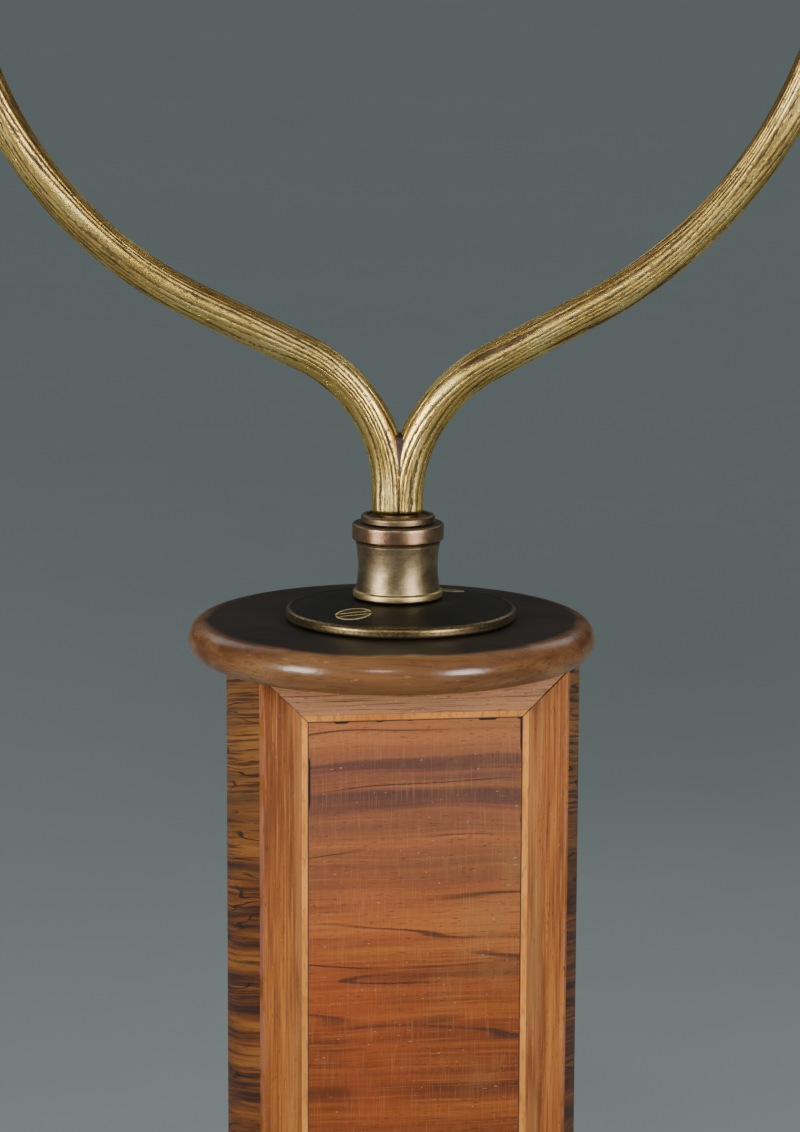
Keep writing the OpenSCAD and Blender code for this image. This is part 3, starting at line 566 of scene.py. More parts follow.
def reeded_brass(place):
    """Gilt lacquer worn bright on the crests of the reeds, speckled brown between them."""
    stock = place.add("ShaderNodeAttribute", {}, "Vector", attribute_name="stock")
    crest = place.add("ShaderNodeAttribute", {}, "Fac", attribute_name="crest")
    cloud = stock.noise((0.016, 0.0035, 0.0035), 3.0, 0.6)
    speck = stock.noise((0.0008, 0.00042, 0.00042), 4.0, 0.75)
    dash = stock.noise((0.0045, 0.00048, 0.00048), 3.0, 0.6)
    uneven = (dash - 0.5) * 1.2 + (speck - 0.5) * 1.9 + (cloud - 0.5) * 1.2
    gilt = (crest * 1.1 + uneven).step(0.27, 0.64)
    gold = cloud.ramp(
        (0.35, (0.62, 0.42, 0.1)),
        (0.52, (0.8, 0.57, 0.16)),
        (0.68, (0.9, 0.71, 0.27)),
    )
    brown = dash.ramp((0.35, (0.04, 0.024, 0.011)), (0.65, (0.17, 0.105, 0.038)))
    colour = gilt.mix(brown, gold)
    worn = (crest * 1.0 + (dash - 0.5) * 1.2).step(0.92, 1.1)
    colour = (worn * 0.6).mix(colour, (0.92, 0.77, 0.37))
    pits = spots(stock, (0.0011, 0.00035, 0.00035), 0.2) * (1 - worn * 0.5)
    colour = (pits * 0.85).mix(colour, (0.045, 0.028, 0.014))
    rough = 0.5 - gilt * 0.17 - worn * 0.06 + pits * 0.2
    height = speck * 0.6 + dash * 0.6 - pits * 0.9
    return metal(colour, 0.55 + gilt * 0.45 - pits * 0.4, rough, height, 0.0001)


def turned_brass(colour_low, colour_high, dirt, rough=0.3):
    """Old turned brass: faint lathe rings, cloudy patina and small dark marks."""

    def paint(place):
        cloud = place.noise((0.006, 0.006, 0.004), 4.0, 0.6, 0.4)
        rings = place.noise((0.05, 0.05, 0.00035), 2.0, 0.6)
        speck = place.noise((0.0006, 0.0006, 0.0004), 3.0, 0.7)
        colour = (cloud * 0.6 + speck * 0.4).ramp((0.34, colour_low), (0.64, colour_high))
        marks = spots(place, (0.0009, 0.0009, 0.0006), 0.1)
        colour = (marks * 0.7).mix(colour, dirt)
        height = rings * 0.5 + speck * 0.35 - marks * 0.5
        return metal(colour, 1 - marks * 0.4, rough + cloud * 0.16 + rings * 0.1, height, 0.00004)

    return paint


def collar_brass(place):
    """Brushed olive-bronze waist, copper-coloured belt and a painted highlight round the foot."""
    own = place.frame((0, 0, collar_low[2]))
    z = own.part("Z")
    height = collar_high[2] - collar_low[2]
    cloud = place.noise((0.005, 0.005, 0.004), 4.0, 0.6, 0.4)
    rings = place.noise((0.04, 0.04, 0.00022), 3.0, 0.7)
    speck = place.noise((0.0005, 0.0005, 0.0003), 3.0, 0.7)
    body = (cloud * 0.55 + speck * 0.45).ramp(
        (0.36, (0.18, 0.128, 0.068)),
        (0.52, (0.3, 0.226, 0.128)),
        (0.66, (0.43, 0.34, 0.205)),
    )
    patina = cloud * 0.6 + speck * 0.4
    copper = patina.ramp((0.36, (0.26, 0.135, 0.07)), (0.64, (0.47, 0.3, 0.185)))
    belt = z.step(height - 0.0039, height - 0.0036) * z.step(height - 0.0001, height - 0.0005)
    colour = belt.mix(body, copper)
    # Painted shade: dark lines at the foot, under the belt and round the top, where the collar meets the
    # flange, the belt and the fork's ring.
    under_belt = (z - height + 0.0042).line(0.0006)
    crease_shade = z.line(0.0006).most(under_belt).most(z.step(height - 0.0003, height))
    colour = (crease_shade * 0.8).mix(colour, (0.06, 0.04, 0.024))
    # Painted highlight: a bright gold band round the bead of the foot.
    bright = (z - 0.0011).line(0.0009)
    colour = (bright * 0.8).mix(colour, (0.7, 0.53, 0.23))
    marks = spots(place, (0.0007, 0.0007, 0.0005), 0.07)
    colour = (marks * 0.6).mix(colour, (0.08, 0.052, 0.03))
    rough = 0.28 + cloud * 0.12 + rings * 0.1 - belt * 0.08
    relief = rings * 0.8 + speck * 0.5 - marks * 0.5
    return metal(colour, 1 - marks * 0.3 - crease_shade * 0.4, rough, relief, 0.000045)


def flange_brass(centre, edge_r, rim_top):
    """Blackened plate whose raised edge is worn through to the brass."""

    def paint(place):
        own = place.frame((centre, 0, rim_top))
        x, y, z = own.parts()
        radius = x.length(y)
        cloud = place.noise((0.01, 0.01, 0.006), 4.0, 0.65, 0.5)
        speck = place.noise((0.0008, 0.0008, 0.0005), 3.0, 0.7)
        patina = cloud * 0.6 + speck * 0.4
        black = patina.ramp((0.38, (0.008, 0.008, 0.005)), (0.66, (0.03, 0.027, 0.017)))
        gold = speck.ramp((0.35, (0.11, 0.08, 0.036)), (0.65, (0.3, 0.22, 0.105)))
        uneven = (cloud - 0.5) * 1.3 + (speck - 0.5) * 1.2
        worn = ((radius - edge_r) * 900 + 1.35 + uneven).step(0.35, 0.9)
        worn = worn * z.step(-0.0022, -0.001)
        colour = worn.mix(black, gold)
        green = cloud.step(0.6, 0.74) * 0.5
        colour = green.mix(colour, (0.07, 0.066, 0.026))
        rough = 0.44 + cloud * 0.14 - worn * 0.18
        return metal(colour, 0.75 + worn * 0.2, rough, cloud * 0.7 + speck * 0.4, 0.00008)

    return paint


def screw_brass(place):
    """Flange screws: dark old faces and a rim worn bright, with painted highlights on the two edges of
    the slot and painted shade inside it.
    """
    ring_r, angle, slot = 17.4 * MM, math.radians(234), math.radians(4)
    slot_half, slot_edge = 0.46 * MM, 0.85 * MM
    head_flat, head_rim = 3.45 * MM, 3.85 * MM
    middle = (flange_low[0] + flange_high[0]) / 2
    out_x, out_y = ring_r * math.cos(angle), ring_r * math.sin(angle)
    near = place.frame((middle + out_x, out_y, 0), (0, 0, slot))
    far = place.frame((middle - out_x, -out_y, 0), (0, 0, slot))
    radius = near.part("X").length(near.part("Y")).least(far.part("X").length(far.part("Y")))
    across = abs(near.part("Y")).least(abs(far.part("Y")))
    speck = place.noise((0.0006, 0.0006, 0.0004), 3.0, 0.7)
    dark = speck.ramp((0.35, (0.045, 0.03, 0.012)), (0.65, (0.17, 0.115, 0.04)))
    bright = speck.ramp((0.35, (0.42, 0.3, 0.105)), (0.65, (0.86, 0.68, 0.33)))
    # Painted highlight: the two edges of the slot are painted bright as its lit walls; below, worn joins
    # them to the rim's real wear.
    edge = (across - slot_edge).line(0.0005) * radius.step(0.0034, 0.0028)
    worn = (radius + speck * 0.0006).step(head_flat, head_rim).most(edge)
    colour = worn.mix(dark, bright)
    # Painted shade: the slot between its edges is painted near black.
    painted_slot_shade = across.step(slot_half + 0.00006, slot_half)
    colour = (painted_slot_shade * 0.9).mix(colour, (0.05, 0.032, 0.012))
    return metal(colour, 0.95 - worn * 0.5, 0.36, speck, 0.00003)


def plain(colour, rough, metallic=0.0, cell=0.001, depth=0.00005, spread=0.35):
    """One colour varied by fine noise, with a matching grain in the surface."""

    def paint(place):
        fine = place.noise((cell, cell, cell), 4.0, 0.65)
        broad = place.noise((cell * 12,) * 3, 2.0)
        low = tuple(part * (1 - spread) for part in colour)
        high = tuple(min(1.0, part * (1 + spread)) for part in colour)
        varied = (fine * 0.6 + broad * 0.4).ramp((0.34, low), (0.66, high))
        return metal(varied, metallic, rough - 0.06 + fine * 0.12, fine, depth)

    return paint


def clear_glass(rough, tint=(1, 1, 1)):
    """Clear or, with a high roughness, ground glass."""

    def paint(place):
        haze = place.noise((0.004, 0.004, 0.004), 3.0)
        surface = {"Base Color": tint, "Roughness": rough + haze * 0.02}
        return {**surface, "Transmission Weight": 1.0, "IOR": 1.52}

    return paint


# ---- surfaces ----


def spread(name, points, wrap_rows=False, wrap_columns=True, values=None, vectors=None):
    """Mesh of a grid of points. A wrapped direction joins its last line to its first."""
    rows, columns = points.shape[:2]
    index = np.arange(rows * columns).reshape(rows, columns)
    if wrap_rows:
        index = np.vstack([index, index[:1]])
    if wrap_columns:
        index = np.hstack([index, index[:, :1]])
    ring_of_four = [index[:-1, :-1], index[:-1, 1:], index[1:, 1:], index[1:, :-1]]
    quads = np.stack(ring_of_four, -1).reshape(-1, 4)
    mesh = bpy.data.meshes.new(name)
    mesh.vertices.add(rows * columns)
    mesh.vertices.foreach_set("co", points.astype(np.float32).ravel())
    mesh.loops.add(quads.size)
    mesh.loops.foreach_set("vertex_index", quads.astype(np.int32).ravel())
    mesh.polygons.add(len(quads))
    mesh.polygons.foreach_set("loop_start", np.arange(0, quads.size, 4, dtype=np.int32))
    mesh.update(calc_edges=True)
    for key, value in (values or {}).items():
        layer = mesh.attributes.new(key, "FLOAT", "POINT")
        layer.data.foreach_set("value", value.astype(np.float32).ravel())
    for key, value in (vectors or {}).items():
        layer = mesh.attributes.new(key, "FLOAT_VECTOR", "POINT")
        layer.data.foreach_set("vector", value.astype(np.float32).ravel())
    work = bmesh.new()
    work.from_mesh(mesh)
    bmesh.ops.remove_doubles(work, verts=work.verts, dist=1e-7)
    bmesh.ops.recalc_face_normals(work, faces=work.faces)
    for face in work.faces:
        face.smooth = True
    work.to_mesh(mesh)
    work.free()
    piece = bpy.data.objects.new(name, mesh)
    bpy.context.scene.collection.objects.link(piece)
    return piece


def rounded(corner_list, closed=False, arc_steps=7, side_steps=6):
    """Outline through corners (radius, height, fillet) in millimetres, each fillet a tangent arc.

    The points of a straight side crowd towards its ends, so that its shading stays flat.
    """
    table = np.array(corner_list, float) * MM
    points, fillets = table[:, :2], table[:, 2]
    count = len(points)
    runs = []
    for i in range(count):
        if not closed and i in (0, count - 1):
            runs.append(points[i : i + 1])
            continue
        to_last = points[i - 1] - points[i]
        to_next = points[(i + 1) % count] - points[i]
        to_last /= np.linalg.norm(to_last)
        to_next /= np.linalg.norm(to_next)
        half = math.acos(np.clip(to_last @ to_next, -1, 1)) / 2
        if fillets[i] == 0 or abs(half - math.pi / 2) < 1e-4:
            runs.append(points[i : i + 1])
            continue
        bisector = (to_last + to_next) / np.linalg.norm(to_last + to_next)
        middle = points[i] + bisector * fillets[i] / math.sin(half)
        start = points[i] + to_last * fillets[i] / math.tan(half) - middle
        end = points[i] + to_next * fillets[i] / math.tan(half) - middle
        sweep = np.arctan2(start[0] * end[1] - start[1] * end[0], start @ end)
        angle = np.linspace(0, sweep, arc_steps + 1)[:, None]
        turned_start = np.array([-start[1], start[0]])
        runs.append(middle + np.cos(angle) * start + np.sin(angle) * turned_start)
    share = (0.5 - 0.5 * np.cos(np.linspace(0, math.pi, side_steps + 1)))[1:-1, None]
    outline = []
    for i, run in enumerate(runs):
        outline.append(run)
        if closed or i < count - 1:
            following = runs[(i + 1) % count][0]
            outline.append(run[-1] + (following - run[-1]) * share)
    return np.vstack(outline)


AXES = {
    "up": lambda side, other, height: (side, other, height),
    "right": lambda side, other, height: (height, side, other),
    "left": lambda side, other, height: (-height, side, other),
    "front": lambda side, other, height: (side, -height, other),
}


def turned(name, outline, place, axis="up", closed=False, facets=192, milling=None):
    """Outline (radius, height) spun about an axis: across = r cos a, r sin a, along = height.

    milling is (teeth, depth, low, high): between the two heights the radius dips between teeth.
    """
    angle = np.linspace(0, TAU, facets, endpoint=False)[None, :]
    radius = outline[:, :1] + 0 * angle
    height = outline[:, 1:] + 0 * angle
    if milling:
        teeth, depth, low, high = milling
        outer = (radius > radius.max() - 2 * depth) & (height > low) & (height < high)
        radius = radius - outer * depth * (1 - np.abs(np.cos(angle * teeth / 2)) ** 0.8)
    parts = AXES[axis](radius * np.cos(angle), radius * np.sin(angle), height)
    return spread(name, np.stack(parts, -1) + np.array(place), wrap_rows=closed)


def finish_piece(piece, body, paint, slot, *stands_for):
    """Material and body of a new piece, and the CAD nodes that it stands for; the slot argument is not
    used.
    """
    piece.data.materials.append(paint)
    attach(piece, body)
    if stands_for:
        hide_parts(*stands_for)
    return piece


# ---- fork ----


def rod_line(bends, length_step=0.1 * MM):
    """Centreline of a rod: lean against length is in straight stretches; x and z are its integral."""
    lean = math.radians(bends["lean"])
    root_x, root_h, bend_r, slant = (bends[key] * MM for key in ("root_x", "root_h", "bend_r", "slant"))
    reach = root_x + bend_r * (1 - math.cos(lean)) + slant * math.sin(lean)
    upper_r = (arm_x - reach) / (1 - math.cos(lean))
    risen = root_h + (bend_r + upper_r) * math.sin(lean) + slant * math.cos(lean)
    upright = pivot_z - fork_z - risen - eye_r * 0.6
    marks = np.cumsum([0, root_h, bend_r * lean, slant, upper_r * lean, upright])
    along = np.arange(0, marks[-1], length_step)
    tilt = np.interp(along, marks, [0, 0, lean, lean, 0, 0])
    sines = (np.sin(tilt[1:]) + np.sin(tilt[:-1])) / 2 * length_step
    cosines = (np.cos(tilt[1:]) + np.cos(tilt[:-1])) / 2 * length_step
    x = root_x + np.concatenate([[0], np.cumsum(sines)])
    z = fork_z + np.concatenate([[0], np.cumsum(cosines)])
    return along, x, z, tilt


def reeded_rod(side, reeds=20, rings=400, around=200, groove=0.24 * MM):
    """Rod swept along its line: centre + r (cos a across + sin a Y), r dipping between the reeds."""
    sign = 1 if side == "right" else -1
    phase = 1.3 if side == "right" else 4.1
    along, x, z, tilt = rod_line(rod_bends[side])
    s = np.linspace(0, along[-1], rings)
    x, z, tilt = (np.interp(s, along, line)[:, None] for line in (x, z, tilt))
    s = s[:, None]
    a = np.linspace(0, TAU, around, endpoint=False)[None, :]
    wander = 0.42 * np.sin(3 * a + s * 45 + phase) + 0.3 * np.sin(5 * a - s * 31 + 2 * phase)
    wander = wander + 0.2 * np.sin(2 * a + s * 120 + 3 * phase)
    ridge = np.abs(np.sin(math.pi * (reeds * a / TAU + wander)))
    strength = 0.68 + 0.32 * np.sin(4 * a + s * 70 + phase) * np.cos(7 * a - s * 38)
    radius = rod_r - groove * strength * (1 - ridge**0.75)
    close = np.ones_like(s)
    close[0] = close[-1] = 0
    across = radius * np.cos(a) * close
    outward = radius * np.sin(a) * close
    px = x + across * np.cos(tilt)
    pz = z - across * np.sin(tilt)
    low_end = pz < fork_z + 40 * MM
    px = np.where(low_end, np.maximum(px, sign * seam_x), px)
    points = np.stack([sign * px, outward, pz], -1)
    stock = np.stack([s + 0 * a + phase, across, outward], -1)
    crest = ridge * (0.6 + 0.4 * strength)
    return spread(f"{side}_rod", points, values={"crest": crest}, vectors={"stock": stock})


def rod_eye(side):
    """Turned boss at the rod's top, bored for the thumbscrew."""
    half = eye_t / 2 / MM
    bore, outer = (stud_r + 0.05 * MM) / MM, eye_r / MM
    outline = rounded(
        [(bore, -half, 0.3), (outer - 1.6, -half, 0.5), (outer - 1.6, -half + 0.8, 0.1),
         (outer, -half + 0.8, 0.7), (outer, half - 0.8, 0.7), (outer - 1.6, half - 0.8, 0.1),
         (outer - 1.6, half, 0.5), (bore, half, 0.3)],
        closed=True,
    )
    place = (arm_x if side == "right" else -arm_x, 0, pivot_z)
    return turned(f"{side}_rod_eye", outline, place, side, closed=True, facets=128)


def crotch_fillet():
    """Brazed web between the rods: flattened ovals stacked upwards, with a shallow V along the top."""
    rise = np.linspace(0, 1, 40)[:, None]
    a = np.linspace(0, TAU, 96, endpoint=False)[None, :]
    foot, top = 8.5 * MM, 17.8 * MM
    half_width = (0.6 + 4.2 * rise) * MM
    edge = np.sqrt(np.clip(1 - rise**8, 0, 1))
    half_depth = (3.75 - 0.85 * rise) * MM * edge
    half_depth[0] = half_width[0] = half_width[-1] = 0
    x = seam_x + half_width * np.cos(a)
    y = half_depth * np.sin(a) * (1 - 0.25 * np.cos(a) ** 2)
    z = fork_z + foot + (top - foot) * rise + 0.3 * rise * np.abs(x - seam_x)
    return spread("crotch_fillet", np.stack([x, y, z], -1))


def make_fork():
    """Rods with their eyes, the brazed web and the ring that turns on the collar."""
    dirt = (0.03, 0.02, 0.012)
    gilt = material("reeded_gilt_brass", reeded_brass)
    old_paint = turned_brass((0.1, 0.07, 0.038), (0.26, 0.195, 0.105), dirt)
    old = material("old_turned_brass", old_paint)
    # Painted shade: the web is painted a dark brown, far darker than the gilt rods, standing in for the
    # shade in the crotch between them.
    crotch_shade_paint = turned_brass((0.05, 0.034, 0.03), (0.135, 0.098, 0.086), (0.02, 0.014, 0.01), 0.42)
    web = material("shaded_crotch_brown", crotch_shade_paint)
    for side in ("left", "right"):
        finish_piece(reeded_rod(side), "fork", gilt, "gilt_brass", f"{side}_arm")
        finish_piece(rod_eye(side), "fork", old, "gilt_brass")
    finish_piece(crotch_fillet(), "fork", web, "old_brass", "crotch_web")
    height = (ring_high[2] - ring_low[2]) / MM
    edge = ring_high[0] / MM
    ring = rounded(
        [(stem_r / MM, 0, 0), (edge, 0, 0.25), (edge, height - 0.2, 0.75), (6.9, height, 0.25),
         (6.7, height - 0.9, 0.2), (stem_r / MM, height - 1.0, 0)],
        closed=True,
    )
    ring_paint = turned_brass((0.11, 0.076, 0.042), (0.3, 0.215, 0.125), dirt)
    ring_brass = material("dark_ring_brass", ring_paint)
    piece = turned("turning_ring", ring, (0, 0, ring_low[2]), closed=True)
    finish_piece(piece, "fork", ring_brass, "old_brass", "top_ring")


# ---- collar, flange and cap ----


def make_collar():
    """Turned collar: bright foot, hollow waist and a flat belt at the top."""
    height = (collar_high[2] - collar_low[2]) / MM
    belt, foot, waist = collar_high[0] / MM, 9.8, 8.25
    bore = stem_r / MM + 0.05
    outline = rounded(
        [(bore, 0, 0), (foot, 0, 0.5), (foot, 1.5, 0.6), (foot - 0.55, 1.7, 0.15),
         (waist, height / 2 - 0.7, 26), (belt - 0.75, height - 3.95, 0.15),
         (belt, height - 3.35, 0.3), (belt, height, 0.55), (bore, height, 0)],
        closed=True, arc_steps=14,
    )
    collar = turned("turned_collar", outline, (0, 0, collar_low[2]), closed=True, facets=256)
    finish_piece(collar, "pedestal", material("collar_brass", collar_brass), "old_brass", "collar")


def make_flange():
    """Plate with a raised, rounded edge and a low dome, an arc through its foot and its top."""
    centre = (flange_low[0] + flange_high[0]) / 2
    edge = (flange_high[0] - flange_low[0]) / 2 / MM
    thick, total = 2.6, (flange_high[2] - flange_low[2]) / MM
    dome_r, bore = edge - 1.8, stem_r / MM + 0.3
    rise = total - thick
    radius = np.linspace(dome_r, bore, 30)
    sphere = (dome_r**2 + rise**2) / (2 * rise)
    dome = thick + np.sqrt(sphere**2 - radius**2) - (sphere - rise)
    edge_part = rounded([(bore, 0, 0), (edge, 0, 0.9), (edge, thick, 0.9), (dome_r, thick, 0)])
    dome_part = np.stack([radius, dome], -1)[1:] * MM
    outline = np.vstack([edge_part, dome_part])
    plate = turned("domed_flange", outline, (centre, 0, flange_low[2]), closed=True, facets=256)
    paint = material("blackened_brass", flange_brass(centre, edge * MM, flange_low[2] + thick * MM))
    finish_piece(plate, "pedestal", paint, "old_brass", "flange_plate")


def make_cap():
    """Round cap with a full half-round edge."""
    centre = (cap_low[0] + cap_high[0]) / 2
    edge = (cap_high[0] - cap_low[0]) / 2 / MM
    thick = (cap_high[2] - cap_low[2]) / MM
    bore = stem_r / MM + 0.5
    outline = rounded(
        [(bore, 0, 0), (edge, 0, thick / 2 * 0.97), (edge, thick, thick / 2 * 0.97), (bore, thick, 0)],
        closed=True, arc_steps=20, side_steps=12,
    )
    cap = turned("round_cap", outline, (centre, 0, cap_low[2]), closed=True, facets=256)
    paint = material("cap_walnut", turned_wood(centre, edge * MM, cap_high[2]))
    finish_piece(cap, "pedestal", paint, "walnut", "column_cap")


def make_base():
    """Plinth and step, each with a half-round nosing and a small quirk above it."""
    for node, hollow in (("base_plinth", (60.0, 10.0)), ("base_step", None)):
        low, high = corners(node)
        edge, thick = high[0] / MM, (high[2] - low[2]) / MM
        nose = thick - 2.2
        shape = [(edge, 0, nose * 0.48), (edge, nose, nose * 0.48), (edge - 5.5, nose, 0.3),
                 (edge - 5.5, nose + 1.0, 0.3), (edge - 7.0, thick, 0.9), (0, thick, 0)]
        under = [(0, 0, 0)]
        if hollow:
            hollow_r, hollow_h = hollow
            under = [(0, hollow_h, 0), (hollow_r, hollow_h, 0.5), (hollow_r, 0, 0.5)]
        outline = rounded(under + shape, arc_steps=14)
        piece = turned(f"moulded_{node[5:]}", outline, (0, 0, low[2]), facets=256)
        paint = material(f"{node}_walnut", turned_wood(0.0, (edge - 1) * MM, high[2]))
        finish_piece(piece, "pedestal", paint, "walnut", node)


# ---- viewing head ----


def milled_knob(name, place, axis, outline, edge, teeth, body, paint, slot, node):
    """Turned knob whose rim is milled between the two heights of edge, in millimetres."""
    milling = (teeth, 0.35 * MM, edge[0] * MM, edge[1] * MM)
    piece = turned(name, rounded(outline), place, axis, facets=teeth * 6, milling=milling)
    return finish_piece(piece, body, paint, slot, node)


def make_knobs(paint):
    """Thumbscrews in the fork's eyes and focusing knobs on the ends of the shaft."""
    screw_low, screw_high = corners("right_thumbscrew")
    stud_end = screw_low[0]
    shoulder = (arm_x + eye_t / 2 + 0.3 * MM - stud_end) / MM
    r, stud = thumb_r / MM, stud_r / MM
    top = (screw_high[0] - stud_end) / MM
    outline = [
        (0, 0, 0), (stud, 0, 0.3), (stud, shoulder, 0), (6, shoulder, 0.3), (6, shoulder + 1.5, 0.2),
        (r, shoulder + 1.5, 0.8), (r, shoulder + 7, 0.8), (r - 2.2, shoulder + 7, 0.4),
        (r - 3.4, shoulder + 6.5, 0.5), (4.6, shoulder + 6.5, 0.5), (3.6, top, 1.6), (0, top, 0),
    ]
    for side, sign in (("left", -1), ("right", 1)):
        milled_knob(f"{side}_milled_screw", (sign * stud_end, 0, pivot_z), side, outline,
                    (shoulder + 2.2, shoulder + 6.2), 56, f"{side}_clamp", paint, "brass",
                    f"{side}_thumbscrew")
    turn = joints["focus_turn"]["pos_m"]
    _, knob_high = corners("focus_knobs")
    r, width = knob_r / MM, 7.0
    start = knob_high[0] - width * MM
    outline = [
        (2, 0, 0), (5, 0, 0.3), (5, 1.4, 0.2), (r, 1.4, 0.8), (r, width, 0.8), (r - 2.2, width, 0.4),
        (r - 3.2, width - 0.6, 0.4), (2, width - 0.6, 0),
    ]
    for side, sign in (("left", -1), ("right", 1)):
        milled_knob(f"{side}_focus_knob", (sign * start, turn[1], turn[2]), side, outline,
                    (2.1, width - 0.8), 50, "pinion", paint, "brass", "focus_knobs")


def make_eyepieces(paint, black):
    """Flanged lens tubes with flared cups for the eyes."""
    for side, sign in (("left", -1), ("right", 1)):
        tube_low, tube_high = corners(f"{side}_tube")
        cup_low, cup_high = corners(f"{side}_eyecup")
        place = (sign * eye_gap / 2, tube_high[1], pivot_z)
        inner, outer = lens_r / MM, tube_r / MM
        board, total = 5.7, (tube_high[1] - tube_low[1]) / MM
        tube = rounded(
            [(inner, 0, 0.2), (outer, 0, 0.2), (outer, board, 0.1), (outer + 4, board, 0.4),
             (outer + 4, board + 1.6, 0.7), (outer + 0.6, board + 1.9, 0.6), (outer, board + 4, 0.8),
             (outer, total - 3, 0.6), (outer + 1, total - 2.2, 0.4), (outer + 1, total, 0.4),
             (inner, total, 0.2)],
            closed=True,
        )
        piece = turned(f"{side}_lens_tube", tube, place, "front", True)
        finish_piece(piece, "carriage", paint, "brass", f"{side}_tube")
        cup_l = (cup_high[1] - cup_low[1]) / MM
        cup = rounded(
            [(inner, 0, 0.2), (outer + 1, 0, 0.4), (outer + 1.4, 3.0, 4), (outer + 3.2, 8, 6),
             (outer + 5, cup_l - 1.2, 0.8), (outer + 4.4, cup_l, 0.7),
             (outer + 2.8, cup_l - 0.4, 0.8), (inner + 0.9, 3.0, 6)],
            closed=True,
        )
        place = (sign * eye_gap / 2, cup_high[1], pivot_z)
        piece = turned(f"{side}_cup", cup, place, "front", True)
        finish_piece(piece, "carriage", black, "ebony", f"{side}_eyecup")


def soften(node, width):
    """Fine bevel on a CAD node's edges, after its triangles are welded into whole faces."""
    piece = nodes[node]
    weld = piece.modifiers.new("weld", "WELD")
    weld.merge_threshold = 1e-6
    planar = piece.modifiers.new("planar", "DECIMATE")
    planar.decimate_type = "DISSOLVE"
    planar.angle_limit = math.radians(0.5)
    bevel = piece.modifiers.new("bevel", "BEVEL")
    bevel.width = width
    bevel.segments = 2
    bevel.limit_method = "ANGLE"
    bevel.angle_limit = math.radians(40)
    bevel.harden_normals = False


def dress(paint, *names):
    """Gives CAD nodes a material."""
    for name in names:
        mesh = nodes[name].data
        mesh.materials.clear()
        mesh.materials.append(paint)


def side_edges(x, y, z):
    """Distances on a side board to its front and back, and to its sloping top and bottom."""
    front, back = side_low[1], side_high[1]
    low_h, high_h = (front_high[2] - pivot_z) + 4.0 * MM, side_high[2] - pivot_z
    slope = (high_h - low_h) / (back - front)
    half = (y - front) * slope + low_h
    return (y - front).least(back - y), half - abs(z - pivot_z)


def top_edges(x, y, z):
    """Distances on the light flap to its sides, and to its front and back."""
    low, high = corners("light_flap")
    return high[0] - abs(x), (y - low[1]).least(high[1] - y)


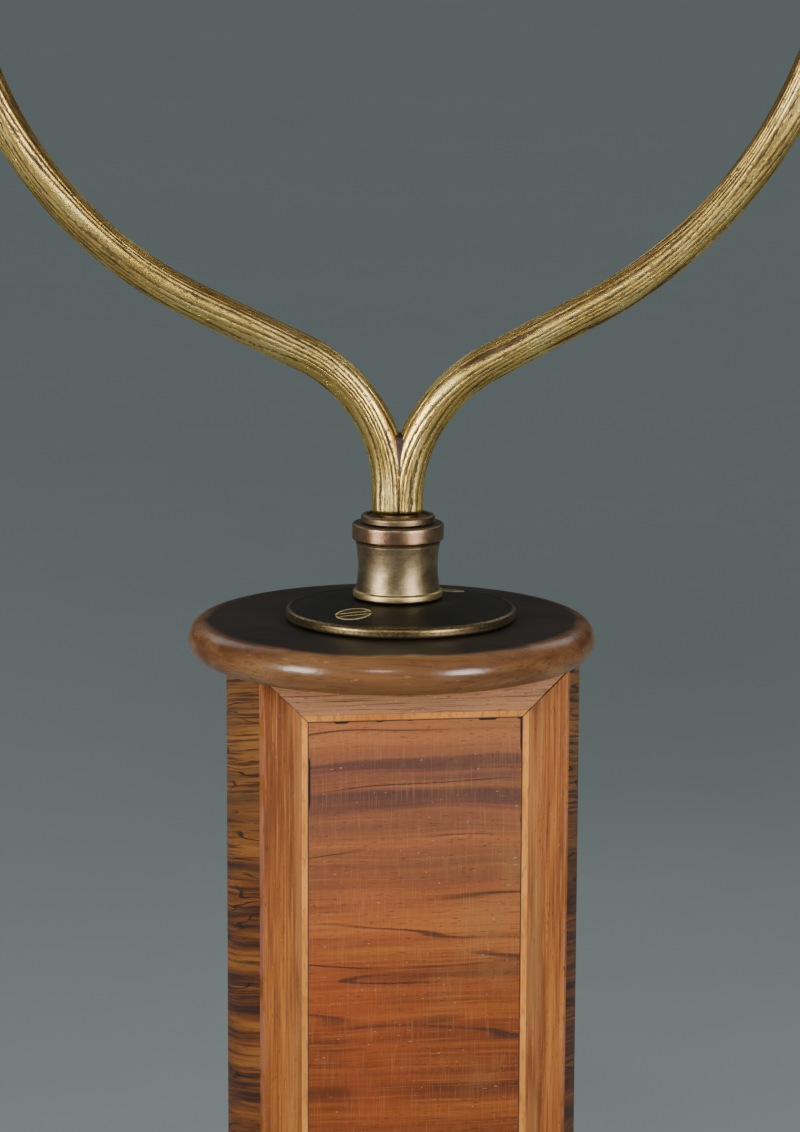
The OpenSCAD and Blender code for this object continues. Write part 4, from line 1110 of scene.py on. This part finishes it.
def make_head():
    """Knobs, eyepieces and the boards, fittings and glass of the viewing head."""
    brass_paint = turned_brass((0.36, 0.245, 0.085), (0.66, 0.49, 0.205), (0.07, 0.045, 0.02), 0.26)
    brass = material("lacquered_brass", brass_paint)
    black = material("waxed_black", plain((0.022, 0.019, 0.017), 0.34, cell=0.0009))
    make_knobs(brass)
    make_eyepieces(brass, black)
    sides = material("side_rosewood", inlaid_board((0, 0, math.pi / 2), side_edges))
    flap = material("flap_rosewood", inlaid_board((math.pi / 2, 0, 0), top_edges))
    dress(sides, "left_side", "right_side")
    dress(flap, "light_flap")
    boards = material("board_rosewood", plain_wood((0.22, 0.058, 0.013), (0.07, 0.02, 0.008)))
    dress(boards, "bottom_board", "top_front", "top_rear")
    walnut = material("frame_walnut", plain_wood((0.125, 0.045, 0.015), (0.04, 0.015, 0.007)))
    dress(walnut, "front_frame", "card_rails", "lens_board", "carriage_sleeve", "door_frame",
          "door_beads")
    matt = material("matt_black_wood", plain((0.014, 0.013, 0.012), 0.8))
    dress(matt, "septum", "carriage_septum")
    dress(brass, "flap_hinges", "door_hinges", "flap_leaves", "door_leaves", "pivot_plates",
          "plate_screws", "shaft_bushes", "lens_rings", "focus_racks", "focus_pinions", "flap_knob")
    dress(material("lens_glass", clear_glass(0.01)), "left_lens", "right_lens")
    dress(material("ground_glass", clear_glass(0.45, (0.93, 0.96, 0.95))), "ground_glass")
    silver = plain((0.82, 0.84, 0.85), 0.09, 1.0, 0.004, 0.000002, 0.04)
    dress(material("silvered_glass", silver), "flap_mirror")
    leather = plain((0.06, 0.036, 0.022), 0.6, cell=0.0005, depth=0.0001)
    dress(material("dark_leather", leather), "friction_washers")
    for node in ("left_side", "right_side", "bottom_board", "top_front", "top_rear", "light_flap",
                 "door_frame", "front_frame", "lens_board", "carriage_sleeve"):
        soften(node, 0.45 * MM)
    for node in ("flap_hinges", "door_hinges", "flap_leaves", "door_leaves", "pivot_plates"):
        soften(node, 0.15 * MM)


def make_column():
    """Materials of the column, its screws and stem, and the weight and felt under the base."""
    dress(material("panel_rosewood", panel_veneer), "column_panels")
    dress(material("banding", banding_veneer), "crossbanding")
    dress(material("boxwood_stringing", string_wood), "stringing")
    dress(material("curved_veneer", side_veneer), "side_veneers")
    softwood = plain_wood((0.52, 0.36, 0.19), (0.33, 0.2, 0.09), (0.002, 0.002, 0.06))
    dress(material("softwood", softwood), "column_core")
    dress(material("worn_screw_brass", screw_brass), "flange_screws")
    soften("flange_screws", 0.18 * MM)
    screw = turned_brass((0.2, 0.145, 0.062), (0.62, 0.47, 0.21), (0.03, 0.022, 0.012), 0.3)
    dress(material("screw_brass", screw), "base_screws")
    stem = turned_brass((0.1, 0.07, 0.036), (0.24, 0.18, 0.09), (0.03, 0.02, 0.012))
    dress(material("stem_brass", stem), "fork_stem")
    steel = material("turned_steel", plain((0.42, 0.42, 0.43), 0.34, 1.0, 0.0008, 0.00003, 0.15))
    dress(steel, "stem_washer", "stem_nut", "column_bolt", "focus_shaft")
    dress(material("cast_iron", plain((0.07, 0.07, 0.072), 0.62, 0.8, 0.0012, 0.00025)), "base_weight")
    felt = plain((0.045, 0.12, 0.07), 0.95, cell=0.0004, depth=0.0003)
    dress(material("green_baize", felt), "felt_pad")


def make_floor():
    """Flat pale floor, far larger than the object."""
    side = np.linspace(-floor_reach, floor_reach, 2)
    x, y = np.meshgrid(side, side, indexing="ij")
    floor = spread("studio_floor", np.stack([x, y, 0 * x], -1), wrap_columns=False)
    paper = plain((0.4, 0.455, 0.452), 0.85, cell=0.05, depth=0.0, spread=0.02)
    floor.data.materials.append(material("pale_paper", paper))


make_camera()
make_studio()
make_floor()
make_fork()
make_collar()
make_flange()
make_cap()
make_base()
make_column()
make_head()
